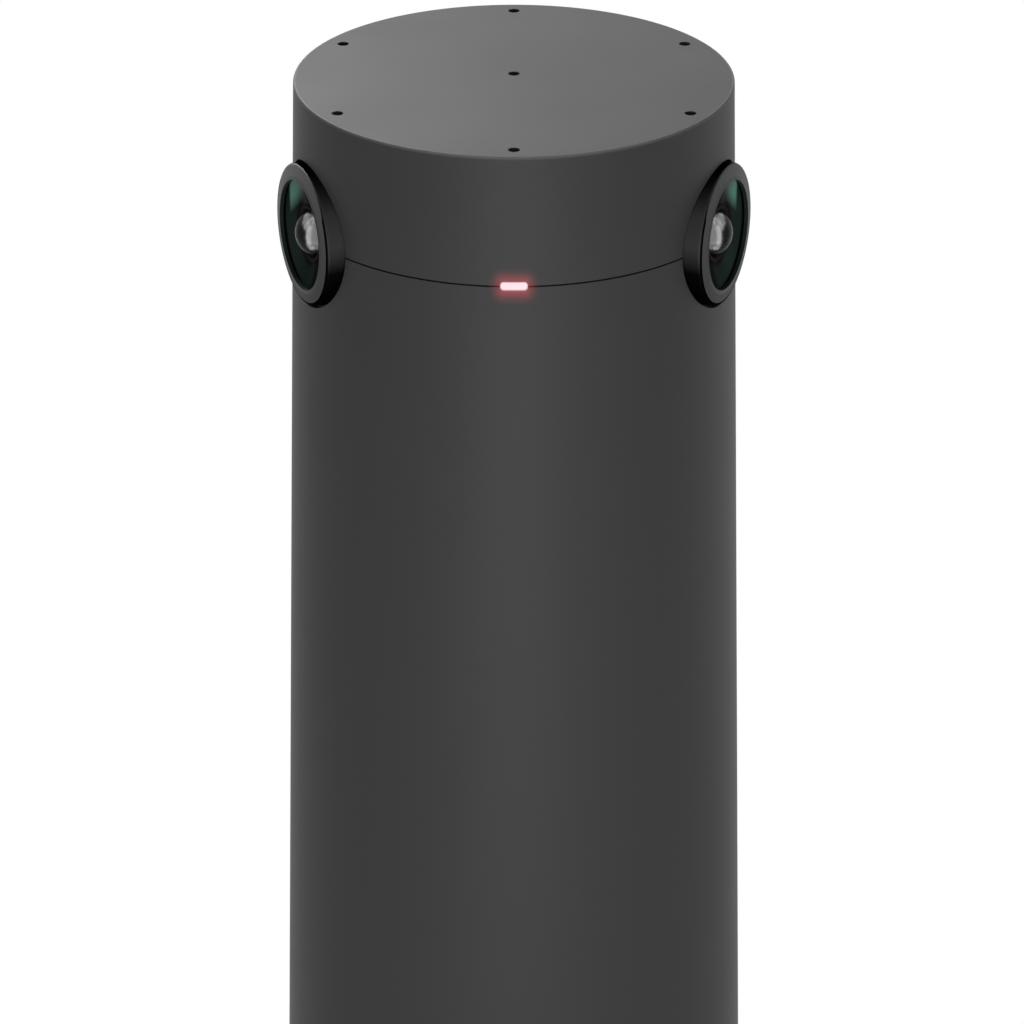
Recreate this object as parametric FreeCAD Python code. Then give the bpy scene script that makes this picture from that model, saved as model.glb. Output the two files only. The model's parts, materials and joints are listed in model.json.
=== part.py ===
import FreeCAD, Part
import math
import os

from FreeCAD import Placement, Rotation, Vector

# A tabletop conference camera: a tall, slightly tapered cylinder that stands on a
# rubber foot. Two fisheye cameras look out through round bezels near the top, one
# 67.5 degrees to each side of the front, and seven microphones listen through holes
# in the flat top. A status light sits in the seam between the cap and the body.
# The frame: millimetres, +Z up, the front faces -Y, and the origin is the centre of
# the circle that the foot stands on.

# Outside of the body
overall_height = 280.0
top_radius = 38.0
base_radius = 43.7
top_edge_round = 0.35
shell_wall = 2.5
cap_wall = 1.6
cap_top_thickness = 2.4
seam_depth = 23.0          # from the top down to the seam, which is the lenses' own height
seam_gap = 0.3
seam_gasket_inset = 0.6
seam_gasket_width = 0.9
seam_gasket_sunk = 1.0
fit_gap = 0.05             # between pieces that slide together and stay put
loose_gap = 0.2            # between pieces that only pass each other

# Foot and base plate
foot_proud = 2.0
foot_groove = 1.0
foot_inset = 3.2           # from the body's outside at the table to the foot
foot_width = 7.1           # wide enough to hide the base screws
foot_edge_round = 0.4
base_plate_thickness = 4.0
base_boss_inset = 7.2      # from the outside of the body to the base screws' centre
base_boss_radius = 3.5
base_boss_height = 12.0
base_boss_angles = (45.0, 135.0, 225.0, 315.0)

# Port bay in the underside, towards the back
bay_half_width = 17.0
bay_depth = 22.0
bay_height = 38.0          # from the underside of the base plate to the bay's ceiling
bay_wall = 2.0
bay_corner = 1.5
bay_gap = 0.5              # between the bay's front wall and the spine
cable_notch_width = 9.0
cable_notch_height = 6.0   # above the underside of the base plate
cable_tunnel_wall = 1.8
foot_break_half_width = 5.2

# Tripod socket, a quarter-inch thread of 20 turns to the inch
tripod_bore_radius = 2.6
tripod_bore_depth = 11.0
tripod_insert_radius = 6.0
tripod_insert_height = 14.0
tripod_boss_wall = 2.5
tripod_lead_in = 0.6
tripod_grip_heights = (4.5, 8.5)
tripod_grip_depth = 0.5
tripod_grip_width = 1.0

# Ballast
ballast_inset = 11.7       # from the body's outside at the table to the ballast
ballast_thickness = 20.0
ballast_gap = 1.0          # between the ballast and the port bay
ballast_screw_places = ((0.0, -24.0), (-22.0, -9.0), (22.0, -9.0))

# Lock slot in the back of the body
lock_height = 30.0
lock_slot_width = 7.0
lock_slot_height = 3.0
lock_plate_angle = 24.0
lock_plate_height = 10.0
lock_plate_thickness = 1.5

# Cameras. A depth is measured outwards from the body's axis along the lens axis.
lens_angle = 67.5
bezel_radius = 12.45
bezel_proud = 0.83         # from the body's surface to the outer edge of the bezel's face
bezel_face_rise = 0.55     # from there to the inner edge of the face
bezel_edge_round = 0.5
bezel_opening_radius = 9.6
bezel_lip_thickness = 0.7
bezel_bore_radius = 10.1
bezel_seal_gap = 0.4
bezel_seal_recess = 0.9
bezel_flange_radius = 14.4
bezel_flange_thickness = 1.5
bezel_post_offset = 8.8
bezel_post_radius = 1.8
trim_bore_radius = 4.15
trim_dish = 2.15           # from the bezel's lip down to where the trim meets the lens
trim_edge = 0.8
front_lens_radius = 4.1
front_lens_ball_radius = 4.5
front_lens_flange_radius = 5.2
front_lens_flange_thickness = 1.0
front_lens_hollow_radius = 3.0
front_lens_hollow_sag = 2.1
middle_lens_radius = 4.6
middle_lens_edge = 1.2
middle_lens_sag = 1.2
rear_lens_radius = 3.5
rear_lens_edge = 1.4
rear_lens_sag = 0.8
rear_lens_drop = 12.65     # from the bezel's lip, like the other drops here
spacer_wall = 0.7
barrel_tail_drop = 14.45
barrel_tail_radius = 5.0
barrel_ledge = 0.45
barrel_head_drop = 8.25
barrel_head_radius = 8.6
barrel_seat_drop = 7.15
holder_half_width = 6.5
holder_base_height = 4.0
holder_neck_radius = 6.4
holder_front_drop = 8.85
filter_half_width = 4.55
filter_drop = 14.95
filter_thickness = 0.4
image_sensor_width = 7.2
image_sensor_height = 5.6
image_sensor_thickness = 0.9
sensor_board_half_width = 6.8
sensor_board_half_height = 10.5
sensor_board_thickness = 1.2

tower_drop = 18.25         # to the face of the bracket's tower, which carries the board

# Camera bracket
plate_thickness = 1.6
tower_half_width = 12.0
bracket_floor_drop = 12.0  # from the lens axis down to the top of the bracket's floor
bracket_roof_gap = 2.0     # from its roof up to the microphone board
bracket_floor_inset = 12.0 # from the outside of the top to the edge of the floor
bracket_roof_inset = 7.5
bracket_screw_gap = 0.7    # from a bracket screw's head to the tower beside it
bracket_back_face = 15.0
bracket_back_half_width = 12.0
tongue_half_width = 8.0
tongue_overlap = 4.0
tongue_rise = 5.0          # of the light board's tab above the lens axis

# Top plate and microphones
mic_hole_radius = 1.0
mic_ring_inset = 3.5       # from the edge of the top to the holes' centres
mic_ring_angles = (30.0, 90.0, 150.0, 210.0, 270.0, 330.0)
mic_centre_setback = 2.2
mic_gasket_radius = 1.75
mic_gasket_thickness = 0.65
mic_mesh_thickness = 0.15
mic_board_thickness = 1.2
mic_board_port_radius = 0.5
mic_width = 3.5
mic_depth = 2.6
mic_thickness = 1.0
mic_boss_ring_radius = 18.0
mic_boss_radius = 2.2
mic_boss_angles = (60.0, 180.0, 300.0)
cap_boss_inset = 11.0      # from the outside of the top to the cap screws' centres
cap_boss_radius = 3.0
cap_boss_angles = (50.0, 130.0, 245.0, 295.0)

# Status light
light_width = 4.7
light_height = 1.6
light_corner = 0.6
light_pipe_flange_width = 7.0
light_pipe_flange_height = 3.6
light_pipe_flange_thickness = 1.0
light_pipe_seat_gap = 0.3
light_pipe_length = 2.4    # from the front of its flange back to the light
light_recess = 0.03
led_width = 3.2
led_height = 1.4
led_thickness = 0.8
led_board_half_width = 7.0
led_board_height = 9.0
led_board_thickness = 1.0
led_screw_offset = 5.0
led_screw_drop = 2.2

# Spine, which is also the heat sink
spine_front = 2.0
spine_thickness = 4.0
spine_half_width = 26.0
spine_neck_half_width = 20.0
spine_shoulder_drop = 28.4 # from the bracket's underside to the top of the fins
spine_foot_thickness = 4.0
spine_foot_half_width = 24.0
spine_foot_front = -18.0
spine_foot_screw_inset = 6.0
spine_foot_screw_rows = (-13.0, -5.0)
spine_head_thickness = 3.0
spine_head_screw_inset = 3.5
spine_head_front = -12.0
fin_count = 9
fin_thickness = 1.8
fin_reach = 22.0
fin_bottom_height = 38.0
standoff_radius = 2.5
standoff_length = 6.0
pedestal_half_width = 15.0

# Main board and what is on it
board_thickness = 1.6
board_half_width = 29.0
board_bottom_clearance = 1.0
board_top_drop = 7.4       # from the bracket's underside
board_screw_heights = (66.0, 140.0)
board_screw_offset = 22.0
board_top_screw_offset = 16.0
board_top_screw_drop = 14.0
processor_half_width = 9.0
processor_thickness = 1.5
processor_height = 150.0
thermal_pad_thickness = 1.0
shield_half_width = 20.0
shield_depth = 3.0
shield_wall = 0.4
connector_width = 5.0
connector_height = 11.0
connector_thickness = 2.2
camera_connector_drop = 7.5
top_connector_low = 8.0    # from the board's top edge down to the ribbon connectors there
top_connector_high = 2.0
ribbon_end_drop = 7.0
memory_chip = (12.0, 14.0, 1.1)
memory_places = ((-8.0, 186.0), (8.0, 186.0))
regulator = (7.0, 7.0, 3.2)
regulator_places = ((-18.0, 95.5), (-6.0, 95.5), (6.0, 95.5), (18.0, 95.5))
transformer = (10.0, 14.0, 5.5)
transformer_place = (-9.0, 75.0)
network_chip = (9.0, 9.0, 1.2)
network_chip_place = (8.5, 74.5)
capacitor_radius = 3.2
capacitor_length = 7.5
capacitor_places = ((-14.0, 112.0), (0.0, 112.0), (14.0, 112.0))

# Sockets in the port bay's ceiling
network_socket_width = 16.0
network_socket_depth = 13.5
network_socket_length = 21.0
network_socket_x = -8.0
network_mouth_wall = 2.0
network_mouth_width = 11.8
network_mouth_depth = 8.0
network_mouth_length = 14.0
network_latch_width = 6.0
network_latch_depth = 2.4
network_latch_length = 9.0
usb_socket_x = 5.6
usb_socket_width = 8.94
usb_socket_depth = 3.26
usb_socket_length = 9.0
usb_wall = 0.3
usb_mouth_length = 6.2
usb_tongue_width = 6.7
usb_tongue_thickness = 0.7
usb_tongue_length = 4.5
usb_tongue_root = 0.5

# Reset button and its switch
reset_x = 13.6
reset_button_radius = 1.4
reset_guide_gap = 0.08
reset_recess = 0.3
reset_flange_radius = 2.2
reset_flange_thickness = 1.0
reset_stem_radius = 0.9
reset_stem_length = 1.4
reset_travel = 0.4
reset_touch_gap = 0.02
switch_width = 5.2
switch_depth = 5.0
switch_height = 4.6
plunger_radius = 0.8
plunger_proud = 1.2
plunger_sunk = 2.0

# Ribbon cables
ribbon_thickness = 0.25
camera_ribbon_width = 8.0
camera_ribbon_overlap = 3.0
light_ribbon_overlap = 1.0
ribbon_width = 10.0
light_ribbon_width = 5.0
ribbon_bend = 1.5
ribbon_pass_gap = 1.0      # around a ribbon where it goes through a plate

# Screws: shank radius, head radius, head height, length under the head
cap_screw = (1.2, 2.2, 1.6, 5.0)
small_screw = (0.9, 1.7, 1.2, 4.0)
bracket_screw = (1.2, 2.2, 1.6, 4.2)
spine_screw = (1.5, 2.7, 2.2, 12.0)
base_screw = (1.4, 2.6, 1.6, 10.0)
ballast_screw = (1.9, 3.4, 2.0, 12.0)
mic_screw = (0.9, 1.7, 1.2, 2.6)
light_screw = (0.9, 1.7, 1.2, 3.4)
pilot_end_gap = 0.4        # between a screw's point and the end of its hole
slot_reach = 0.55          # of a cross recess, as shares of the head's radius
slot_half_width = 0.18
over = 1.0                 # how far a cutting shape runs past the face that it cuts
tiny = 0.01
up = Vector(0, 0, 1)


def outer_radius(height):
    """Radius of the body's outside at a height above the table."""
    share = (overall_height - height) / overall_height
    return top_radius + (base_radius - top_radius) * share


# Heights and depths that follow from the sizes above
plate_bottom = foot_proud
plate_top = plate_bottom + base_plate_thickness
foot_outer_radius = outer_radius(0) - foot_inset
foot_inner_radius = foot_outer_radius - foot_width
bay_ceiling = plate_bottom + bay_height
bay_roof = bay_ceiling + bay_wall
tripod_top = plate_bottom + tripod_insert_height
tripod_boss_radius = tripod_insert_radius + tripod_boss_wall
ballast_radius = outer_radius(0) - ballast_inset
ballast_top = plate_top + ballast_thickness
spine_back = spine_front + spine_thickness
board_front = spine_back + standoff_length
board_back = board_front + board_thickness
bay_front = spine_back + bay_gap + bay_wall
bay_back = bay_front + bay_depth
ballast_back = bay_front - bay_wall - ballast_gap
base_screw_seat = plate_bottom + foot_groove + base_screw[2]
ballast_screw_seat = plate_bottom + ballast_screw[2]

seam_height = overall_height - seam_depth
seam_radius = outer_radius(seam_height)
cap_bottom = seam_height + seam_gap / 2
shell_top = seam_height - seam_gap / 2
cap_inner_top = overall_height - cap_top_thickness
mic_ring_radius = top_radius - mic_ring_inset
cap_boss_ring_radius = top_radius - cap_boss_inset
bracket_floor_radius = top_radius - bracket_floor_inset
bracket_roof_radius = top_radius - bracket_roof_inset
mic_board_top = cap_inner_top - mic_gasket_thickness - mic_mesh_thickness
mic_board_bottom = mic_board_top - mic_board_thickness
bracket_floor_top = seam_height - bracket_floor_drop
bracket_floor_bottom = bracket_floor_top - plate_thickness
bracket_roof_top = mic_board_bottom - bracket_roof_gap
bracket_roof_bottom = bracket_roof_top - plate_thickness
spine_top = bracket_floor_bottom
spine_shoulder_height = spine_top - spine_shoulder_drop
board_bottom = bay_roof + board_bottom_clearance
board_top = bracket_floor_bottom - board_top_drop
camera_connector_height = board_top - camera_connector_drop
light_ribbon_height = spine_top - spine_head_thickness - ribbon_pass_gap - ribbon_thickness
mic_ribbon_middle = board_back + connector_thickness + ribbon_thickness / 2

notch_radius = bezel_radius + bezel_seal_gap
bezel_rim_depth = seam_radius + bezel_proud
bezel_lip_depth = bezel_rim_depth + bezel_face_rise
bezel_flange_front = math.sqrt((seam_radius - shell_wall) ** 2 - bezel_flange_radius ** 2) - loose_gap
bezel_flange_depth = bezel_flange_front - bezel_flange_thickness
trim_bore_depth = bezel_lip_depth - trim_dish
trim_back_depth = trim_bore_depth - trim_edge
front_lens_seat_depth = trim_back_depth - front_lens_flange_thickness
barrel_head_depth = bezel_lip_depth - barrel_head_drop
barrel_seat_depth = bezel_lip_depth - barrel_seat_drop
barrel_tail_depth = bezel_lip_depth - barrel_tail_drop
rear_lens_depth = bezel_lip_depth - rear_lens_drop
holder_front_depth = bezel_lip_depth - holder_front_drop
filter_seat_depth = bezel_lip_depth - filter_drop
tower_face_depth = bezel_lip_depth - tower_drop
tower_back_depth = tower_face_depth - plate_thickness
sensor_board_depth = tower_face_depth + sensor_board_thickness
spine_head_screw_y = spine_head_front + spine_head_screw_inset
bracket_screw_depth = tower_back_depth - bracket_screw[1] - bracket_screw_gap
spine_head_screw_x = ((bracket_screw_depth + spine_head_screw_y * math.cos(math.radians(lens_angle)))
                      / math.sin(math.radians(lens_angle)))
spine_head_half_width = spine_head_screw_x + spine_head_screw_inset

light_wall_depth = math.sqrt((seam_radius - shell_wall) ** 2 - (light_pipe_flange_width / 2) ** 2)
light_pipe_flange_depth = light_wall_depth - light_pipe_seat_gap
light_pipe_back_depth = light_pipe_flange_depth - light_pipe_length
led_board_front = light_pipe_back_depth - led_thickness - fit_gap
tongue_face = led_board_front - led_board_thickness
led_screw_height = seam_height - led_screw_drop
led_board_top = seam_height + tongue_rise

reset_y = board_back + switch_depth / 2 + loose_gap
plunger_tip = bay_roof + 2 * reset_touch_gap + reset_flange_thickness + reset_stem_length
switch_bottom = plunger_tip + plunger_proud


def body_cone(bottom, top, inset=0.0):
    """Solid of the body's outside between two heights, drawn in by an inset."""
    lower = outer_radius(bottom) - inset
    upper = outer_radius(top) - inset
    return Part.makeCone(lower, upper, top - bottom, Vector(0, 0, bottom))


def box(x_low, x_high, y_low, y_high, z_low, z_high):
    size = (x_high - x_low, y_high - y_low, z_high - z_low)
    return Part.makeBox(*size, Vector(x_low, y_low, z_low))


def slab(half_width, y_low, y_high, z_low, z_high):
    """Box with its middle at x = 0."""
    return box(-half_width, half_width, y_low, y_high, z_low, z_high)


def post(x, y, bottom, top, radius):
    """Upright round bar."""
    return Part.makeCylinder(radius, top - bottom, Vector(x, y, bottom))


def bar(x, height, y_low, y_high, radius):
    """Round bar that runs along Y."""
    return Part.makeCylinder(radius, y_high - y_low, Vector(x, y_low, height), Vector(0, 1, 0))


def tube(outer, inner, bottom, top):
    return post(0, 0, bottom, top, outer).cut(post(0, 0, bottom - over, top + over, inner))


def group(shapes):
    """Separate solids under one name."""
    return Part.makeCompound(list(shapes))


def mirrored(value):
    return (-value, value)


def polar(radius, angle):
    turn = math.radians(angle)
    return radius * math.cos(turn), radius * math.sin(turn)


def joined(shapes):
    first, *rest = shapes
    return first.fuse(rest).removeSplitter() if rest else first


def turned(points):
    """Solid turned about Z from a closed outline of (radius, height) points. A point
    of three values is the middle of an arc that runs to the next point."""
    corners = [Vector(point[0], 0, point[1]) for point in points]
    edges = []
    index = 0
    while index < len(points):
        after = (index + 1) % len(points)
        if len(points[after]) == 3:
            end = (index + 2) % len(points)
            edges.append(Part.Arc(corners[index], corners[after], corners[end]).toShape())
            index += 2
        else:
            edges.append(Part.makeLine(corners[index], corners[after]))
            index += 1
    return Part.Face(Part.Wire(edges)).revolve(Vector(0, 0, 0), Vector(0, 0, 1), 360)


def rounded_plate(half_width, half_height, corner, depth):
    """Plate in the XY plane with round corners, raised along Z."""
    blank = box(-half_width, half_width, -half_height, half_height, 0, depth)
    upright = [edge for edge in blank.Edges if abs(edge.BoundBox.ZLength - depth) < tiny]
    return blank.makeFillet(corner, upright)


def along_y(shape, y_start, height):
    """Turns a shape that was raised along Z so that it runs from y_start towards +Y."""
    moved = shape.copy()
    moved.Placement = Placement(Vector(0, y_start, height), Rotation(Vector(1, 0, 0), -90))
    return moved


def screw(sizes, top=Vector(0, 0, 0), point=Vector(0, 0, -1)):
    """Pan-head screw with a cross recess. top is under the head, and the shank runs
    from there along point."""
    shank, head, head_height, length = sizes
    body = post(0, 0, -length, 0.0, shank).fuse(post(0, 0, 0, head_height, head))
    long, short = head * slot_reach, head * slot_half_width
    for across, along in ((long, short), (short, long)):
        body = body.cut(slab(across, -along, along, head_height / 2, head_height + over))
    body.Placement = Placement(top, Rotation(Vector(0, 0, -1), point))
    return body


def ribbon(points, width, thickness=ribbon_thickness, bend=ribbon_bend):
    """Flat cable whose middle line runs through (y, z) points in the plane x = 0, with
    its corners bent round."""
    corners = [Vector(0, y, z) for y, z in points]
    edges = []
    start = corners[0]
    for before, corner, after in zip(corners, corners[1:], corners[2:]):
        inward = (before - corner).normalize() * bend
        outward = (after - corner).normalize() * bend
        middle = corner + (inward + outward) * (1 - math.sqrt(0.5))
        edges.append(Part.makeLine(start, corner + inward))
        edges.append(Part.Arc(corner + inward, middle, corner + outward).toShape())
        start = corner + outward
    edges.append(Part.makeLine(start, corners[-1]))
    run = (corners[1] - corners[0]).normalize()
    side = run.cross(Vector(1, 0, 0)) * (thickness / 2)
    across = Vector(width / 2, 0, 0)
    ends = [corners[0] + side + across, corners[0] + side - across,
            corners[0] - side - across, corners[0] - side + across]
    section = Part.makePolygon(ends + ends[:1])
    return Part.Wire(edges).makePipeShell([section], True, False)


def lens_places():
    """Side name and placement of each camera: local Z runs out along the lens axis and
    local Y is up."""
    level = Rotation(Vector(1, 0, 0), 90)
    for side, angle in (("left", -lens_angle), ("right", lens_angle)):
        turn = Rotation(Vector(0, 0, 1), angle)
        yield side, Placement(Vector(0, 0, seam_height), turn.multiply(level))


def placed(shape, placement):
    moved = shape.copy()
    moved.Placement = placement.multiply(moved.Placement)
    return moved


def lens_notches():
    drill = post(0, 0, tower_face_depth, tower_face_depth + base_radius, notch_radius)
    return [placed(drill, placement) for side, placement in lens_places()]


def light_slot(gap):
    """Prism of the status light's window, through the wall at the front."""
    half_width, half_height = light_width / 2 + gap, light_height / 2 + gap
    plate = rounded_plate(half_width, half_height, light_corner + gap, seam_radius / 2)
    return along_y(plate, -seam_radius - over, seam_height)


def mic_places():
    """Centre and direction angle of each microphone hole."""
    places = [(*polar(mic_ring_radius, angle), angle) for angle in mic_ring_angles]
    return places + [(0.0, mic_centre_setback, 0.0)]


def cap_boss_places():
    return [polar(cap_boss_ring_radius, angle) for angle in cap_boss_angles]


def mic_boss_places():
    return [polar(mic_boss_ring_radius, angle) for angle in mic_boss_angles]


def base_boss_places():
    ring = outer_radius(plate_bottom) - base_boss_inset
    return [polar(ring, angle) for angle in base_boss_angles]


def top_cap():
    cap = body_cone(cap_bottom, overall_height)
    rim = [edge for edge in cap.Edges if edge.BoundBox.ZMin > overall_height - tiny]
    cap = cap.makeFillet(top_edge_round, rim)
    cap = cap.cut(body_cone(cap_bottom - over, cap_inner_top, cap_wall))
    bosses = [post(*place, bracket_roof_top, cap_inner_top, cap_boss_radius) for place in cap_boss_places()]
    bosses += [post(*place, mic_board_top, cap_inner_top, mic_boss_radius) for place in mic_boss_places()]
    cap = cap.fuse(bosses)
    cuts = [post(x, y, cap_inner_top - over, overall_height + over, mic_hole_radius)
            for x, y, turn in mic_places()]
    for x, y in cap_boss_places():
        top = bracket_roof_bottom + cap_screw[3] + pilot_end_gap
        cuts.append(post(x, y, bracket_roof_top - over, top, cap_screw[0] + fit_gap))
    for x, y in mic_boss_places():
        top = mic_board_bottom + mic_screw[3] + pilot_end_gap
        cuts.append(post(x, y, mic_board_top - over, top, mic_screw[0] + fit_gap))
    return cap.cut(cuts + lens_notches() + [light_slot(fit_gap)])


def seam_gasket(gap=0.0):
    """Soft ring in a groove in the body's top edge. It shows as the dark seam."""
    bottom = shell_top - seam_gasket_sunk - gap
    outer = body_cone(bottom, cap_bottom, seam_gasket_inset - gap)
    inner = body_cone(bottom - over, cap_bottom + over, seam_gasket_inset + seam_gasket_width + gap)
    ring = outer.cut(inner)
    if gap:
        return ring
    return ring.cut(lens_notches() + [light_slot(fit_gap)])


def cable_notch(from_y, to_y):
    """Round-topped passage for the cables, through the back of the base."""
    half = cable_notch_width / 2
    crown = plate_bottom + cable_notch_height - half
    arch = Part.makeCylinder(half, to_y - from_y, Vector(0, from_y, crown), Vector(0, 1, 0))
    return arch.fuse(slab(half, from_y, to_y, plate_bottom - over, crown))


def base_boss(x, y):
    """Boss for a base screw, with a web that ties it to the body's wall."""
    top = plate_top + base_boss_height
    web = box(0, outer_radius(plate_top), -base_boss_radius, base_boss_radius, plate_top, top)
    web = web.cut(post(0, 0, plate_top - over, top + over, math.hypot(x, y)))
    web.rotate(Vector(0, 0, 0), up, math.degrees(math.atan2(y, x)))
    return post(x, y, plate_top, top, base_boss_radius).fuse(web)


def body_shell():
    shell = body_cone(plate_bottom, shell_top)
    shell = shell.cut(body_cone(plate_bottom - over, shell_top + over, shell_wall))
    middle_of_wall = body_cone(plate_bottom, shell_top, shell_wall / 2)
    shell = shell.fuse([base_boss(x, y).common(middle_of_wall) for x, y in base_boss_places()])
    cuts = lens_notches() + [light_slot(fit_gap), seam_gasket(fit_gap), lock_slot()]
    cuts.append(cable_notch(bay_back, base_radius + over))
    for x, y in base_boss_places():
        top = base_screw_seat + base_screw[3] + pilot_end_gap
        cuts.append(post(x, y, plate_top - over, top, base_screw[0] + fit_gap))
    return shell.cut(cuts)


def lock_slot():
    half_width, half_height = lock_slot_width / 2, lock_slot_height / 2
    depth = 4 * shell_wall
    plate = rounded_plate(half_width, half_height, half_height - tiny, depth)
    return along_y(plate, outer_radius(lock_height) - depth / 2, lock_height)


def lock_plate():
    """Steel plate that backs the lock slot, bent to the inside of the body."""
    low = lock_height - lock_plate_height / 2
    high = lock_height + lock_plate_height / 2
    inset = shell_wall + fit_gap
    plate = body_cone(low, high, inset)
    plate = plate.cut(body_cone(low - over, high + over, inset + lock_plate_thickness))
    half = base_radius * math.tan(math.radians(lock_plate_angle / 2))
    corners = [Vector(0, 0, low), Vector(-half, base_radius, low), Vector(half, base_radius, low)]
    wedge = Part.Face(Part.makePolygon(corners + corners[:1]))
    return plate.common(wedge.extrude(up * lock_plate_height)).cut(lock_slot())


def socket_holes():
    """Holes for the two sockets through the bay's ceiling."""
    holes = []
    for x, width, depth in ((network_socket_x, network_socket_width, network_socket_depth),
                            (usb_socket_x, usb_socket_width, usb_socket_depth)):
        half = width / 2 + loose_gap
        holes.append(box(x - half, x + half, board_back - loose_gap, board_back + depth + loose_gap,
                         bay_ceiling - over, bay_roof + over))
    return holes


def bay_block(grow, bottom, top, corner):
    """Block in the shape of the port bay, larger all round by grow, with round upright
    corners."""
    block = slab(bay_half_width + grow, bay_front - grow, bay_back + grow, bottom, top)
    upright = [edge for edge in block.Edges if abs(edge.BoundBox.ZLength - (top - bottom)) < tiny]
    return block.makeFillet(corner, upright)


def screw_holes(x, y, sizes, seat, bottom):
    """Clearance hole and head recess of a screw that goes up through the base plate."""
    shank, head, head_height, length = sizes
    recess = post(x, y, bottom, seat + fit_gap, head + loose_gap)
    return recess.fuse(post(x, y, bottom, plate_top + over, shank + loose_gap))


def base_plate():
    """Bottom closure with the port bay, the tripod boss and the foot's groove."""
    plate = post(0, 0, plate_bottom, plate_top, outer_radius(plate_bottom) - shell_wall - loose_gap)
    tub = bay_block(bay_wall, plate_bottom, bay_roof, bay_corner + bay_wall)
    boss = post(0, 0, plate_bottom, tripod_top, tripod_boss_radius)
    boss = boss.cut(slab(tripod_boss_radius, bay_front, base_radius, 0, bay_roof))
    tunnel_top = plate_bottom + cable_notch_height + cable_tunnel_wall
    half = cable_notch_width / 2 + cable_tunnel_wall
    tunnel = slab(half, bay_back, base_radius, plate_bottom, tunnel_top)
    inside = post(0, 0, plate_bottom, tunnel_top, outer_radius(tunnel_top) - shell_wall - loose_gap)
    plate = plate.fuse([tub, boss, tunnel.common(inside)])
    groove = tube(foot_outer_radius + fit_gap, foot_inner_radius - fit_gap,
                  plate_bottom - over, plate_bottom + foot_groove)
    cuts = [bay_block(0, plate_bottom - over, bay_ceiling, bay_corner), groove]
    cuts.append(cable_notch(bay_back - over, base_radius))
    cuts += socket_holes()
    cuts.append(post(0, 0, plate_bottom - over, tripod_top + over, tripod_insert_radius + fit_gap))
    guide = reset_button_radius + reset_guide_gap
    cuts.append(post(reset_x, reset_y, bay_ceiling - over, bay_roof + over, guide))
    cuts += [screw_holes(x, y, base_screw, base_screw_seat, plate_bottom) for x, y in base_boss_places()]
    cuts += [screw_holes(x, y, ballast_screw, ballast_screw_seat, plate_bottom - over)
             for x, y in ballast_screw_places]
    return plate.cut(cuts)


def foot_ring():
    ring = tube(foot_outer_radius, foot_inner_radius, 0, plate_bottom + foot_groove)
    sole = [edge for edge in ring.Edges if edge.BoundBox.ZMax < tiny]
    ring = ring.makeFillet(foot_edge_round, sole)
    return ring.cut(slab(foot_break_half_width, 0, base_radius, -over, plate_top))


def tripod_insert():
    insert = post(0, 0, plate_bottom, tripod_top, tripod_insert_radius)
    lead_in = Part.makeCone(tripod_bore_radius + tripod_lead_in, tripod_bore_radius, tripod_lead_in,
                            Vector(0, 0, plate_bottom))
    bore = post(0, 0, plate_bottom - over, plate_bottom + tripod_bore_depth, tripod_bore_radius)
    grips = []
    for height in tripod_grip_heights:
        low = plate_bottom + height
        grips.append(tube(tripod_insert_radius + over, tripod_insert_radius - tripod_grip_depth,
                          low, low + tripod_grip_width))
    return insert.cut([bore, lead_in] + grips)


def ballast():
    block = post(0, 0, plate_top, ballast_top, ballast_radius)
    block = block.cut(slab(base_radius, ballast_back, base_radius, plate_top - over, ballast_top + over))
    cuts = [post(0, 0, plate_top - over, tripod_top + loose_gap, tripod_boss_radius + loose_gap)]
    for x, y in ballast_screw_places:
        top = ballast_screw_seat + ballast_screw[3] + pilot_end_gap
        cuts.append(post(x, y, plate_top - over, top, ballast_screw[0] + fit_gap))
    for x, y in spine_foot_places():
        bottom = ballast_top + spine_foot_thickness - spine_screw[3] - pilot_end_gap
        cuts.append(post(x, y, bottom, ballast_top + over, spine_screw[0] + fit_gap))
    for x, y in base_boss_places():
        cuts.append(post(x, y, plate_top - over, ballast_top + over, base_boss_radius + loose_gap))
    return block.cut(cuts)


def spine_foot_places():
    across = spine_foot_half_width - spine_foot_screw_inset
    return [(x, y) for x in mirrored(across) for y in spine_foot_screw_rows]


def spine_head_places():
    return [(x, spine_head_screw_y) for x in mirrored(spine_head_screw_x)]


def board_screw_spots():
    spots = [(x, height) for x in mirrored(board_screw_offset) for height in board_screw_heights]
    top = board_top - board_top_screw_drop
    return spots + [(x, top) for x in mirrored(board_top_screw_offset)]


def spine_fins():
    pitch = (2 * spine_half_width - fin_thickness) / (fin_count - 1)
    fins = []
    for number in range(fin_count):
        left = -spine_half_width + number * pitch
        fins.append(box(left, left + fin_thickness, spine_front - fin_reach, spine_back,
                        fin_bottom_height, spine_shoulder_height))
    return fins


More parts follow.
